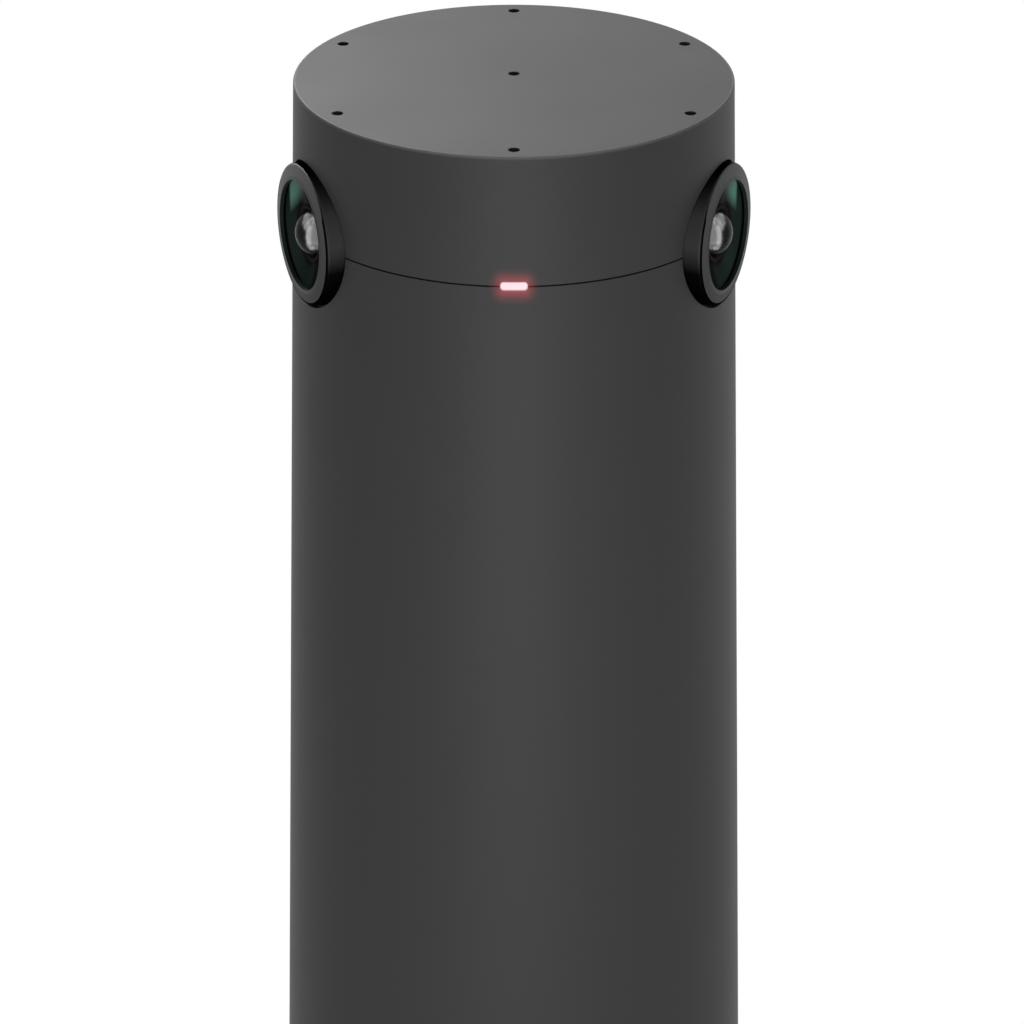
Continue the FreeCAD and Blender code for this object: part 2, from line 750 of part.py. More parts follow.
def spine():
    """Aluminium back plate with fins, a foot on the ballast and a head that carries
    the camera bracket."""
    low, high = ballast_top, spine_top
    foot_top = low + spine_foot_thickness
    pedestal_back = board_front - processor_thickness - thermal_pad_thickness
    shapes = [
        slab(spine_half_width, spine_front, spine_back, low, spine_shoulder_height),
        slab(spine_neck_half_width, spine_front, spine_back, low, high),
        slab(spine_foot_half_width, spine_foot_front, spine_back, low, foot_top),
        slab(spine_head_half_width, spine_head_front, spine_back, high - spine_head_thickness, high),
        slab(pedestal_half_width, spine_front, pedestal_back,
             processor_height - pedestal_half_width, processor_height + pedestal_half_width),
    ]
    shapes += spine_fins()
    shapes += [bar(x, height, spine_front, board_front, standoff_radius)
               for x, height in board_screw_spots()]
    cuts = []
    for x, y in spine_foot_places():
        cuts.append(post(x, y, low - over, foot_top + over, spine_screw[0] + loose_gap))
    for x, y in spine_head_places():
        cuts.append(post(x, y, high - spine_head_thickness - over, high + over, bracket_screw[0] + fit_gap))
    for x, height in board_screw_spots():
        point = board_back - small_screw[3] - pilot_end_gap
        cuts.append(bar(x, height, point, board_front + over, small_screw[0] + fit_gap))
    cuts.append(slab(light_ribbon_width / 2 + ribbon_pass_gap, spine_front - over, spine_back + over,
                     light_ribbon_height - ribbon_pass_gap, light_ribbon_height + ribbon_pass_gap))
    return joined(shapes).cut(cuts)


def camera_bracket():
    """Folded aluminium bracket: a floor on the spine's head, a roof under the cap, two
    towers that carry the cameras and a tab for the light board."""
    floor_low, floor_top = bracket_floor_bottom, bracket_floor_top
    roof_low, roof_top = bracket_roof_bottom, bracket_roof_top
    shapes = [
        post(0, 0, floor_low, floor_top, bracket_floor_radius),
        post(0, 0, roof_low, roof_top, bracket_roof_radius),
        slab(bracket_back_half_width, bracket_back_face - plate_thickness, bracket_back_face,
             floor_low, roof_top),
        slab(tongue_half_width, -tongue_face, tongue_overlap - bracket_floor_radius, floor_low, floor_top),
        slab(tongue_half_width, -tongue_face, plate_thickness - tongue_face, floor_low, led_board_top),
    ]
    tower = slab(tower_half_width, floor_low - seam_height, roof_top - seam_height,
                 tower_back_depth, tower_face_depth)
    shapes += [placed(tower, placement) for side, placement in lens_places()]
    cuts = [slab(ribbon_width / 2 + ribbon_pass_gap, mic_ribbon_middle - ribbon_pass_gap,
                 mic_ribbon_middle + ribbon_pass_gap, floor_low - over, roof_top + over)]
    for x, y in cap_boss_places():
        cuts.append(post(x, y, roof_low - over, roof_top + over, cap_screw[0] + loose_gap))
    for x, y in spine_head_places():
        cuts.append(post(x, y, floor_low - over, floor_top + over, bracket_screw[0] + loose_gap))
    for x in mirrored(led_screw_offset):
        cuts.append(bar(x, led_screw_height, -tongue_face - over, plate_thickness - tongue_face + over,
                        light_screw[0] + loose_gap))
    ribbon_pass = slab(camera_ribbon_width / 2 + ribbon_pass_gap,
                       floor_low - seam_height - over, floor_top - seam_height + over,
                       sensor_board_depth - ribbon_pass_gap, sensor_board_depth + bracket_floor_radius)
    for side, placement in lens_places():
        cuts.append(placed(ribbon_pass, placement))
        for x, y in bezel_post_places():
            hole = post(x, y, tower_back_depth - over, tower_face_depth + over, small_screw[0] + loose_gap)
            cuts.append(placed(hole, placement))
    return joined(shapes).cut(cuts)


def bezel_post_places():
    return [(x, y) for x in mirrored(bezel_post_offset) for y in mirrored(bezel_post_offset)]


def lens_bezel():
    """Ring with a slightly dished-out face, a flange behind the wall and four posts
    that stand on the tower."""
    face_inner, face_outer = bezel_lip_depth, bezel_rim_depth
    ring = turned([
        (bezel_bore_radius, bezel_flange_depth),
        (bezel_flange_radius, bezel_flange_depth),
        (bezel_flange_radius, bezel_flange_front),
        (bezel_radius, bezel_flange_front),
        (bezel_radius, face_outer),
        (bezel_opening_radius, face_inner),
        (bezel_opening_radius, face_inner - bezel_lip_thickness),
        (bezel_bore_radius, face_inner - bezel_lip_thickness),
    ])
    rim = [edge for edge in ring.Edges
           if abs(edge.BoundBox.ZMin - face_outer) < tiny and abs(edge.BoundBox.XMax - bezel_radius) < tiny]
    ring = ring.makeFillet(bezel_edge_round, rim)
    clear_middle = post(0, 0, tower_face_depth - over, bezel_flange_front, bezel_bore_radius)
    posts = [post(x, y, tower_face_depth, bezel_flange_front - tiny, bezel_post_radius).cut(clear_middle)
             for x, y in bezel_post_places()]
    top = tower_back_depth + small_screw[3] + pilot_end_gap
    pilots = [post(x, y, tower_face_depth - over, top, small_screw[0] + fit_gap)
              for x, y in bezel_post_places()]
    return ring.fuse(posts).cut(pilots)


def lens_seal(placement):
    """Rubber sleeve that fills the gap between the bezel and the wall, set back from
    the surface so that it reads as a dark line."""
    start = bezel_flange_front + fit_gap
    sleeve = tube(notch_radius - fit_gap / 2, bezel_radius + fit_gap / 2, start, bezel_rim_depth)
    low, high = seam_height - notch_radius - over, seam_height + notch_radius + over
    return placed(sleeve, placement).common(body_cone(low, high, bezel_seal_recess))


def lens_trim():
    """Dished gloss ring between the bezel's lip and the front lens."""
    top = bezel_lip_depth - bezel_lip_thickness
    outer = bezel_bore_radius - fit_gap
    return turned([
        (trim_bore_radius, trim_back_depth),
        (outer, trim_back_depth),
        (outer, top),
        (bezel_opening_radius, top),
        (trim_bore_radius, trim_bore_depth),
    ])


def front_lens():
    """Fisheye front element: a domed meniscus with a seating flange."""
    radius, ball = front_lens_radius, front_lens_ball_radius
    ball_centre = trim_bore_depth - math.sqrt(ball ** 2 - radius ** 2)
    half_turn = math.asin(radius / ball) / 2
    seat = front_lens_seat_depth
    hollow, sag = front_lens_hollow_radius, front_lens_hollow_sag
    hollow_ball = (hollow ** 2 + sag ** 2) / (2 * sag)
    hollow_centre = seat + sag - hollow_ball
    hollow_half = math.asin(hollow / hollow_ball) / 2
    return turned([
        (0, seat + sag),
        (hollow_ball * math.sin(hollow_half), hollow_centre + hollow_ball * math.cos(hollow_half), "arc"),
        (hollow, seat),
        (front_lens_flange_radius, seat),
        (front_lens_flange_radius, trim_back_depth),
        (radius, trim_back_depth),
        (radius, trim_bore_depth),
        (ball * math.sin(half_turn), ball_centre + ball * math.cos(half_turn), "arc"),
        (0, ball_centre + ball),
    ])


def plano_lens(radius, edge, sag, back):
    """Lens with a flat back at a depth and a bulging front."""
    ball = (radius ** 2 + sag ** 2) / (2 * sag)
    centre = back + edge + sag - ball
    half_turn = math.asin(radius / ball) / 2
    return turned([
        (0, back),
        (radius, back),
        (radius, back + edge),
        (ball * math.sin(half_turn), centre + ball * math.cos(half_turn), "arc"),
        (0, back + edge + sag),
    ])


def middle_lens():
    return plano_lens(middle_lens_radius, middle_lens_edge, middle_lens_sag, barrel_seat_depth)


def rear_lens():
    return plano_lens(rear_lens_radius, rear_lens_edge, rear_lens_sag, rear_lens_depth)


def lens_spacer():
    """Ring between the middle lens, on whose bulge its inner edge stands, and the front
    lens."""
    inner = middle_lens_radius - spacer_wall
    ball = (middle_lens_radius ** 2 + middle_lens_sag ** 2) / (2 * middle_lens_sag)
    rise = math.sqrt(ball ** 2 - inner ** 2) - math.sqrt(ball ** 2 - middle_lens_radius ** 2)
    bottom = barrel_seat_depth + middle_lens_edge + rise + fit_gap
    return tube(middle_lens_radius, inner, bottom, front_lens_seat_depth)


def lens_barrel():
    """Stepped barrel that holds the lens elements and screws into the holder."""
    clear = fit_gap
    return turned([
        (rear_lens_radius - barrel_ledge, barrel_tail_depth),
        (barrel_tail_radius, barrel_tail_depth),
        (barrel_tail_radius, barrel_head_depth),
        (barrel_head_radius, barrel_head_depth),
        (barrel_head_radius, trim_back_depth),
        (front_lens_flange_radius + clear, trim_back_depth),
        (front_lens_flange_radius + clear, front_lens_seat_depth),
        (middle_lens_radius + clear, front_lens_seat_depth),
        (middle_lens_radius + clear, barrel_seat_depth),
        (rear_lens_radius + clear, barrel_seat_depth),
        (rear_lens_radius + clear, rear_lens_depth),
        (rear_lens_radius - barrel_ledge, rear_lens_depth),
    ])


def lens_holder():
    """Square-based holder that stands over the image sensor."""
    base = sensor_board_depth
    shoulder = base + holder_base_height
    half = holder_half_width
    holder = slab(half, -half, half, base, shoulder)
    holder = holder.fuse(post(0, 0, shoulder - over, holder_front_depth, holder_neck_radius))
    window = filter_half_width + fit_gap
    well = slab(window, -window, window, base - over, filter_seat_depth)
    bore = post(0, 0, filter_seat_depth - over, holder_front_depth + over, barrel_tail_radius + fit_gap)
    return holder.cut([well, bore])


def ir_filter():
    half = filter_half_width
    return slab(half, -half, half, filter_seat_depth - filter_thickness, filter_seat_depth)


def image_sensor():
    up_half = image_sensor_height / 2
    front = sensor_board_depth + image_sensor_thickness
    return slab(image_sensor_width / 2, -up_half, up_half, sensor_board_depth, front)


def sensor_board():
    up_half = sensor_board_half_height
    return slab(sensor_board_half_width, -up_half, up_half, tower_face_depth, sensor_board_depth)


def camera_ribbon(side, placement):
    """Flat cable from the foot of a sensor board, down and back to the main board, cut
    off square where it enters its connector."""
    half = camera_ribbon_width / 2
    middle = camera_connector_height - seam_height
    top = camera_ribbon_overlap - sensor_board_half_height
    inner, outer = sensor_board_depth, sensor_board_depth + ribbon_thickness
    down = slab(half, middle - half, top, inner, outer)
    turn = math.radians(lens_angle)
    reach = (board_half_width + 2 * ribbon_thickness - outer * math.sin(turn)) / math.cos(turn)
    ends = (-reach, half) if side == "left" else (-half, reach)
    back = box(*ends, middle - half, middle + half, inner, outer)
    beyond = slab(base_radius, board_front - connector_thickness, base_radius, board_bottom, spine_top)
    return placed(joined([down, back]), placement).cut(beyond)


def main_board():
    board = slab(board_half_width, board_front, board_back, board_bottom, board_top)
    hole = small_screw[0] + loose_gap
    return board.cut([bar(x, height, board_front - over, board_back + over, hole)
                      for x, height in board_screw_spots()])


def beside_processor(half, y_low, y_high):
    """Square plate, level with the processor."""
    return slab(half, y_low, y_high, processor_height - half, processor_height + half)


def processor():
    return beside_processor(processor_half_width, board_front - processor_thickness, board_front)


def thermal_pad():
    back = board_front - processor_thickness
    return beside_processor(processor_half_width, back - thermal_pad_thickness, back)


def shield_can():
    can = beside_processor(shield_half_width, board_back, board_back + shield_depth)
    return can.cut(beside_processor(shield_half_width - shield_wall, board_back - over,
                                    board_back + shield_depth - shield_wall))


def chip(sizes, place, front=False):
    """Block of (width, height, thickness) on the back or front face of the main board."""
    width, height, thickness = sizes
    x, middle = place
    near = board_front - thickness if front else board_back
    return box(x - width / 2, x + width / 2, near, near + thickness,
               middle - height / 2, middle + height / 2)


def board_chips():
    """Memory, power and network parts on the two faces of the main board."""
    chips = [chip(memory_chip, place, front=True) for place in memory_places]
    chips += [chip(regulator, place) for place in regulator_places]
    chips += [chip(transformer, transformer_place), chip(network_chip, network_chip_place)]
    chips += [bar(x, height, board_back, board_back + capacitor_length, capacitor_radius)
              for x, height in capacitor_places]
    return group(chips)


def board_connectors():
    """Ribbon connectors: one at each edge for a camera, one for the microphones and
    one for the status light."""
    edge = board_half_width - connector_width / 2
    camera = (connector_width, connector_height, connector_thickness)
    sockets = [chip(camera, (x, camera_connector_height), front=True) for x in mirrored(edge)]
    height = top_connector_low - top_connector_high
    middle = board_top - top_connector_high - height / 2
    for front in (False, True):
        sockets.append(chip((ribbon_width, height, connector_thickness), (0, middle), front))
    return group(sockets)


def light_ribbon():
    start = -(led_board_front + ribbon_thickness / 2)
    end = board_front - connector_thickness - ribbon_thickness / 2
    route = [(start, led_board_top - led_board_height + light_ribbon_overlap), (start, light_ribbon_height),
             (end, light_ribbon_height), (end, board_top - ribbon_end_drop)]
    return ribbon(route, light_ribbon_width)


def mic_ribbon():
    half = ribbon_thickness / 2
    return slab(ribbon_width / 2, mic_ribbon_middle - half, mic_ribbon_middle + half,
                board_top - ribbon_end_drop, mic_board_bottom)


def network_socket():
    x, back = network_socket_x, board_back
    half = network_socket_width / 2
    socket = box(x - half, x + half, back, back + network_socket_depth,
                 bay_ceiling, bay_ceiling + network_socket_length)
    low = back + network_mouth_wall
    high = low + network_mouth_depth
    half = network_mouth_width / 2
    mouth = box(x - half, x + half, low, high, bay_ceiling - over, bay_ceiling + network_mouth_length)
    half = network_latch_width / 2
    latch = box(x - half, x + half, low, high + network_latch_depth,
                bay_ceiling - over, bay_ceiling + network_latch_length)
    return socket.cut([mouth, latch])


def usb_socket():
    """Flat round-ended metal shell with a tongue inside."""
    across, outer = usb_socket_width / 2, usb_socket_depth / 2
    shell = rounded_plate(across, outer, outer - tiny, usb_socket_length)
    inner = outer - usb_wall
    mouth = rounded_plate(across - usb_wall, inner, inner - tiny, usb_mouth_length)
    half = usb_tongue_thickness / 2
    tongue = slab(usb_tongue_width / 2, -half, half,
                  usb_mouth_length - usb_tongue_length, usb_mouth_length + usb_tongue_root)
    socket = shell.cut(mouth).fuse(tongue)
    socket.translate(Vector(usb_socket_x, board_back + outer, bay_ceiling))
    return socket


def reset_button():
    """Button that a pin pushes up from the port bay."""
    flange_low = bay_roof + reset_touch_gap
    flange_high = flange_low + reset_flange_thickness
    x, y = reset_x, reset_y
    return joined([
        post(x, y, bay_ceiling + reset_recess, flange_high, reset_button_radius),
        post(x, y, flange_low, flange_high, reset_flange_radius),
        post(x, y, flange_low, flange_high + reset_stem_length, reset_stem_radius),
    ])


def switch_plunger():
    return post(reset_x, reset_y, plunger_tip, switch_bottom + plunger_sunk, plunger_radius)


def reset_switch():
    half = switch_width / 2
    body = box(reset_x - half, reset_x + half, board_back, reset_y + switch_depth / 2,
               switch_bottom, switch_bottom + switch_height)
    well = switch_bottom + plunger_sunk + reset_travel + loose_gap
    return body.cut(post(reset_x, reset_y, switch_bottom - over, well, plunger_radius + reset_guide_gap))


def mic_board():
    board = post(0, 0, mic_board_bottom, mic_board_top, outer_radius(mic_board_top) - cap_wall - loose_gap)
    low, high = mic_board_bottom - over, mic_board_top + over
    holes = [post(x, y, low, high, mic_board_port_radius) for x, y, turn in mic_places()]
    holes += [post(x, y, low, high, cap_boss_radius + loose_gap) for x, y in cap_boss_places()]
    holes += [post(x, y, low, high, mic_screw[0] + loose_gap) for x, y in mic_boss_places()]
    return board.cut(holes)


def at_mics(shape):
    """The same shape at each microphone hole, turned towards the middle of the top."""
    copies = []
    for x, y, turn in mic_places():
        one = shape.copy()
        one.rotate(Vector(0, 0, 0), up, turn)
        one.translate(Vector(x, y, 0))
        copies.append(one)
    return group(copies)


def mic_gaskets():
    top = mic_board_top + mic_gasket_thickness
    return at_mics(tube(mic_gasket_radius, mic_hole_radius, mic_board_top, top))


def mic_meshes():
    return at_mics(post(0, 0, cap_inner_top - mic_mesh_thickness, cap_inner_top, mic_gasket_radius))


def microphones():
    half = mic_width / 2
    return at_mics(slab(mic_depth / 2, -half, half, mic_board_bottom - mic_thickness, mic_board_bottom))


def light_pipe():
    """Clear window in the seam with a flange behind the wall."""
    length = seam_radius + over - light_pipe_back_depth
    plate = rounded_plate(light_width / 2, light_height / 2, light_corner, length)
    window = along_y(plate, -light_pipe_back_depth - length, seam_height)
    window = window.common(body_cone(seam_height - light_height, seam_height + light_height, light_recess))
    flange = rounded_plate(light_pipe_flange_width / 2, light_pipe_flange_height / 2, light_corner,
                           light_pipe_flange_thickness)
    return window.fuse(along_y(flange, -light_pipe_flange_depth, seam_height))


def led_chip():
    return slab(led_width / 2, -led_board_front - led_thickness, -led_board_front,
                seam_height - led_height / 2, seam_height + led_height / 2)


def led_board():
    board = slab(led_board_half_width, -led_board_front, -tongue_face,
                 led_board_top - led_board_height, led_board_top)
    hole = light_screw[0] + loose_gap
    return board.cut([bar(x, led_screw_height, -led_board_front - over, -tongue_face + over, hole)
                      for x in mirrored(led_screw_offset)])


def bezel_screws():
    """Four screws through each tower into the posts of its bezel."""
    return group(placed(screw(small_screw, Vector(x, y, tower_back_depth), up), placement)
                 for side, placement in lens_places() for x, y in bezel_post_places())


def cap_screws():
    return group(screw(cap_screw, Vector(x, y, bracket_roof_bottom), up) for x, y in cap_boss_places())


def bracket_screws():
    return group(screw(bracket_screw, Vector(x, y, bracket_floor_top)) for x, y in spine_head_places())


def spine_screws():
    top = ballast_top + spine_foot_thickness
    return group(screw(spine_screw, Vector(x, y, top)) for x, y in spine_foot_places())


def board_screws():
    """Small screws of the main board, the microphone board and the light board."""
    to_front = Vector(0, -1, 0)
    screws = [screw(small_screw, Vector(x, board_back, height), to_front)
              for x, height in board_screw_spots()]
    screws += [screw(mic_screw, Vector(x, y, mic_board_bottom), up) for x, y in mic_boss_places()]
    screws += [screw(light_screw, Vector(x, -led_board_front, led_screw_height), -to_front)
               for x in mirrored(led_screw_offset)]
    return group(screws)


def base_screws():
    """Screws up into the body, with their heads hidden by the foot."""
    return group(screw(base_screw, Vector(x, y, base_screw_seat), up) for x, y in base_boss_places())


def ballast_screws():
    return group(screw(ballast_screw, Vector(x, y, ballast_screw_seat), up)
                 for x, y in ballast_screw_places)


def lens_pair(maker):
    """The same small piece in both cameras, as one group."""
    return group(placed(maker(), placement) for side, placement in lens_places())


def all_pieces():
    pieces = {
        "top_cap": top_cap(),
        "body_shell": body_shell(),
        "seam_gasket": seam_gasket(),
        "base_plate": base_plate(),
        "foot_ring": foot_ring(),
        "tripod_insert": tripod_insert(),
        "ballast": ballast(),
        "lock_plate": lock_plate(),
        "spine": spine(),
        "camera_bracket": camera_bracket(),
        "main_board": main_board(),
        "processor": processor(),
        "thermal_pad": thermal_pad(),
        "shield_can": shield_can(),
        "board_chips": board_chips(),
        "board_connectors": board_connectors(),
        "network_socket": network_socket(),
        "usb_socket": usb_socket(),
        "reset_button": reset_button(),
        "reset_switch": reset_switch(),
        "switch_plunger": switch_plunger(),
        "mic_board": mic_board(),
        "mic_gaskets": mic_gaskets(),
        "mic_meshes": mic_meshes(),
        "microphones": microphones(),
        "mic_ribbon": mic_ribbon(),
        "light_pipe": light_pipe(),
        "led_chip": led_chip(),
        "led_board": led_board(),
        "light_ribbon": light_ribbon(),
        "lens_spacers": lens_pair(lens_spacer),
        "ir_filters": lens_pair(ir_filter),
        "image_sensors": lens_pair(image_sensor),
        "bezel_screws": bezel_screws(),
        "cap_screws": cap_screws(),
        "bracket_screws": bracket_screws(),
        "spine_screws": spine_screws(),
        "board_screws": board_screws(),
        "base_screws": base_screws(),
        "ballast_screws": ballast_screws(),
    }
    for side, placement in lens_places():
        pieces["lens_bezel_" + side] = placed(lens_bezel(), placement)
        pieces["lens_seal_" + side] = lens_seal(placement)
        pieces["lens_trim_" + side] = placed(lens_trim(), placement)
        pieces["front_lens_" + side] = placed(front_lens(), placement)
        pieces["middle_lens_" + side] = placed(middle_lens(), placement)
        pieces["rear_lens_" + side] = placed(rear_lens(), placement)
        pieces["lens_barrel_" + side] = placed(lens_barrel(), placement)
        pieces["lens_holder_" + side] = placed(lens_holder(), placement)
        pieces["sensor_board_" + side] = placed(sensor_board(), placement)
        pieces["camera_ribbon_" + side] = camera_ribbon(side, placement)
    return pieces


os.makedirs("parts", exist_ok=True)
for name, shape in all_pieces().items():
    if not shape.isValid():
        print("not valid:", name)
    shape.exportStep("parts/" + name + ".step")
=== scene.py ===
import json
import math
import bpy
import numpy as np
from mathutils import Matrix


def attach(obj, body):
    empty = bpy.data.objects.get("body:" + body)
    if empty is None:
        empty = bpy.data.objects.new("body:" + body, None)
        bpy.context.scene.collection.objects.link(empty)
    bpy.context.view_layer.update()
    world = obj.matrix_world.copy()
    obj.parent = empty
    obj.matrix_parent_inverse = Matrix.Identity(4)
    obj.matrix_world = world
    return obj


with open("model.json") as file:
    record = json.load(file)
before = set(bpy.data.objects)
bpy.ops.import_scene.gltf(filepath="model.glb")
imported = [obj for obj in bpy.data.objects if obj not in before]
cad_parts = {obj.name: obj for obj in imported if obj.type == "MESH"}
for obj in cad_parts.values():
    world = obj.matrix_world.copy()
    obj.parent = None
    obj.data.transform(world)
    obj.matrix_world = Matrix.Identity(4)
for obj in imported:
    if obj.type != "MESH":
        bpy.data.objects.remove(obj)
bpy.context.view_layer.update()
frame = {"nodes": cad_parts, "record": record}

# Tabletop conference camera: finishes, small pieces, studio and camera.
# Metres, +Z up, the front faces -Y.

nodes = frame["nodes"]
mm = 0.001
seamHeight = 257 * mm
lensAngle = math.radians(67.5)     # each lens looks this far to the side of the front

# node trees: addNode and the helpers below build every material

def addNode(tree, kind, inputs=None, **settings):
    # inputs holds a value or another node's output for each named or numbered socket
    node = tree.nodes.new(kind)
    for name, value in settings.items():
        setattr(node, name, value)
    for name, value in (inputs or {}).items():
        if isinstance(value, bpy.types.NodeSocket):
            tree.links.new(value, node.inputs[name])
        else:
            node.inputs[name].default_value = value
    return node


def calc(tree, operation, *values):
    return addNode(tree, "ShaderNodeMath", dict(enumerate(values)), operation=operation).outputs[0]


def remap(tree, value, fromLow, fromHigh, toLow=0.0, toHigh=1.0):
    inputs = {"Value": value, "From Min": fromLow, "From Max": fromHigh, "To Min": toLow, "To Max": toHigh}
    return addNode(tree, "ShaderNodeMapRange", inputs).outputs["Result"]


def mixColour(tree, share, low, high):
    # in a colour mix socket 0 is the share, and 6 and 7 are the two colours
    return addNode(tree, "ShaderNodeMix", {0: share, 6: low, 7: high}, data_type="RGBA").outputs[2]


def separate(tree, vector):
    return addNode(tree, "ShaderNodeSeparateXYZ", {0: vector}).outputs


def scaleColour(tree, tone, factor):
    return addNode(tree, "ShaderNodeVectorMath", {0: tone, "Scale": factor}, operation="SCALE").outputs[0]


def hypotenuse(tree, first, second):
    squares = calc(tree, "ADD", calc(tree, "MULTIPLY", first, first), calc(tree, "MULTIPLY", second, second))
    return calc(tree, "SQRT", squares)


def objectCoordinates(tree):
    return addNode(tree, "ShaderNodeTexCoord").outputs["Object"]


def noise(tree, where, scale, detail):
    return addNode(tree, "ShaderNodeTexNoise", {"Vector": where, "Scale": scale, "Detail": detail}).outputs[0]


def newGroup(name, inputs, outputs):
    # inputs: label -> (socket kind, first value); outputs: label -> socket kind
    tree = bpy.data.node_groups.new(name, "ShaderNodeTree")
    for label, (kind, value) in inputs.items():
        socket = tree.interface.new_socket(label, in_out="INPUT", socket_type="NodeSocket" + kind)
        socket.default_value = value
    for label, kind in outputs.items():
        tree.interface.new_socket(label, in_out="OUTPUT", socket_type="NodeSocket" + kind)
    return tree, tree.nodes.new("NodeGroupInput").outputs, tree.nodes.new("NodeGroupOutput").inputs


def useGroup(tree, group, **values):
    node = tree.nodes.new("ShaderNodeGroup")
    node.node_tree = group
    for name, value in values.items():
        label = "".join(" " + letter if letter.isupper() else letter for letter in name).title()
        if isinstance(value, bpy.types.NodeSocket):
            tree.links.new(value, node.inputs[label])
        else:
            node.inputs[label].default_value = value
    return node.outputs


def grey(value):
    return (value, value, value, 1.0)


def colour(red, green, blue):
    return (red, green, blue, 1.0)


def makeGrainGroup():
    # fine grain and slow cloudy patches, together as one tone around zero:
    # colour = Colour * (1 + tone * Spread), roughness = Roughness + tone * Roughness Spread
    tree, given, result = newGroup("mouldedGrain", {
        "Colour": ("Color", grey(0.05)), "Spread": ("Float", 0.1), "Roughness": ("Float", 0.4),
        "Roughness Spread": ("Float", 0.1), "Grain": ("Float", 4000.0), "Patches": ("Float", 40.0),
        "Stretch": ("Vector", (1.0, 1.0, 1.0)),
    }, {"Colour": "Color", "Roughness": "Float", "Height": "Float"})
    where = addNode(tree, "ShaderNodeMapping", {"Vector": objectCoordinates(tree), "Scale": given["Stretch"]})
    fine = noise(tree, where.outputs[0], given["Grain"], 3.0)
    slow = noise(tree, where.outputs[0], given["Patches"], 2.0)
    tone = calc(tree, "ADD", calc(tree, "SUBTRACT", fine, 0.5), calc(tree, "SUBTRACT", slow, 0.5))
    bright = calc(tree, "MULTIPLY_ADD", tone, given["Spread"], 1.0)
    tree.links.new(scaleColour(tree, given["Colour"], bright), result["Colour"])
    tree.links.new(calc(tree, "MULTIPLY_ADD", tone, given["Roughness Spread"], given["Roughness"]),
                   result["Roughness"])
    tree.links.new(fine, result["Height"])
    return tree


def makeHaloGroup():
    # glow around a flat bar in the plane of the front: 1 at the bar's edge, falling to 0 at Reach
    tree, given, result = newGroup("lightHalo", {
        "Height": ("Float", seamHeight), "Half Width": ("Float", 0.00235), "Half Height": ("Float", 0.0008),
        "Reach": ("Float", 0.0028), "Power": ("Float", 1.3), "Colour": ("Color", colour(1, 0, 0)),
    }, {"Colour": "Color", "Mask": "Float"})
    place = separate(tree, objectCoordinates(tree))
    across = calc(tree, "SUBTRACT", calc(tree, "ABSOLUTE", place["X"]), given["Half Width"])
    level = calc(tree, "ABSOLUTE", calc(tree, "SUBTRACT", place["Z"], given["Height"]))
    level = calc(tree, "SUBTRACT", level, given["Half Height"])
    away = hypotenuse(tree, calc(tree, "MAXIMUM", across, 0.0), calc(tree, "MAXIMUM", level, 0.0))
    share = calc(tree, "DIVIDE", away, given["Reach"])
    left = calc(tree, "MAXIMUM", calc(tree, "SUBTRACT", 1.0, share), 0.0)
    mask = calc(tree, "POWER", left, given["Power"])
    mask = calc(tree, "MULTIPLY", mask, calc(tree, "LESS_THAN", place["Y"], 0.0))
    tree.links.new(scaleColour(tree, given["Colour"], mask), result["Colour"])
    tree.links.new(mask, result["Mask"])
    return tree


wireMesh = {"pitch": 0.00022, "edge": (0.2, 0.8)}      # edge: where on the wave a wire starts and is full


def makeWeaveGroup():
    # two crossed sets of wires: the height is the higher of the two sine waves
    tree, given, result = newGroup("wireMesh", {
        "Pitch": ("Float", 0.00018), "Wire": ("Color", grey(0.03)), "Gap": ("Color", grey(0.002)),
    }, {"Colour": "Color", "Height": "Float"})
    place = separate(tree, objectCoordinates(tree))
    turn = calc(tree, "DIVIDE", 2 * math.pi, given["Pitch"])
    alongX = calc(tree, "SINE", calc(tree, "MULTIPLY", place["X"], turn))
    alongY = calc(tree, "SINE", calc(tree, "MULTIPLY", place["Y"], turn))
    height = calc(tree, "MAXIMUM", alongX, alongY)
    wire = remap(tree, height, *wireMesh["edge"])
    tree.links.new(mixColour(tree, wire, given["Gap"], given["Wire"]), result["Colour"])
    tree.links.new(wire, result["Height"])
    return tree


def makeLensGroup():
    # a point's place seen along a lens axis, the same for both lenses: Depth out along the axis,
    # Side towards the front, Up, Radius from the axis; Right is 1 on the right lens and 0 on the left
    tree, _, result = newGroup("lensPlace", {}, {"Depth": "Float", "Side": "Float", "Up": "Float",
                                                 "Radius": "Float", "Right": "Float"})
    place = separate(tree, objectCoordinates(tree))
    across = calc(tree, "ABSOLUTE", place["X"])
    sine, cosine = math.sin(lensAngle), math.cos(lensAngle)
    depth = calc(tree, "SUBTRACT", calc(tree, "MULTIPLY", across, sine),
                 calc(tree, "MULTIPLY", place["Y"], cosine))
    side = calc(tree, "MULTIPLY_ADD", across, -cosine, calc(tree, "MULTIPLY", place["Y"], -sine))
    up = calc(tree, "SUBTRACT", place["Z"], seamHeight)
    for label, value in (("Depth", depth), ("Side", side), ("Up", up), ("Radius", hypotenuse(tree, side, up)),
                         ("Right", calc(tree, "GREATER_THAN", place["X"], 0.0))):
        tree.links.new(value, result[label])
    return tree


tracks = {"steps": 6.0, "line": 0.4, "pad": 0.1}      # lines in each cell, share of a line, reach of a pad


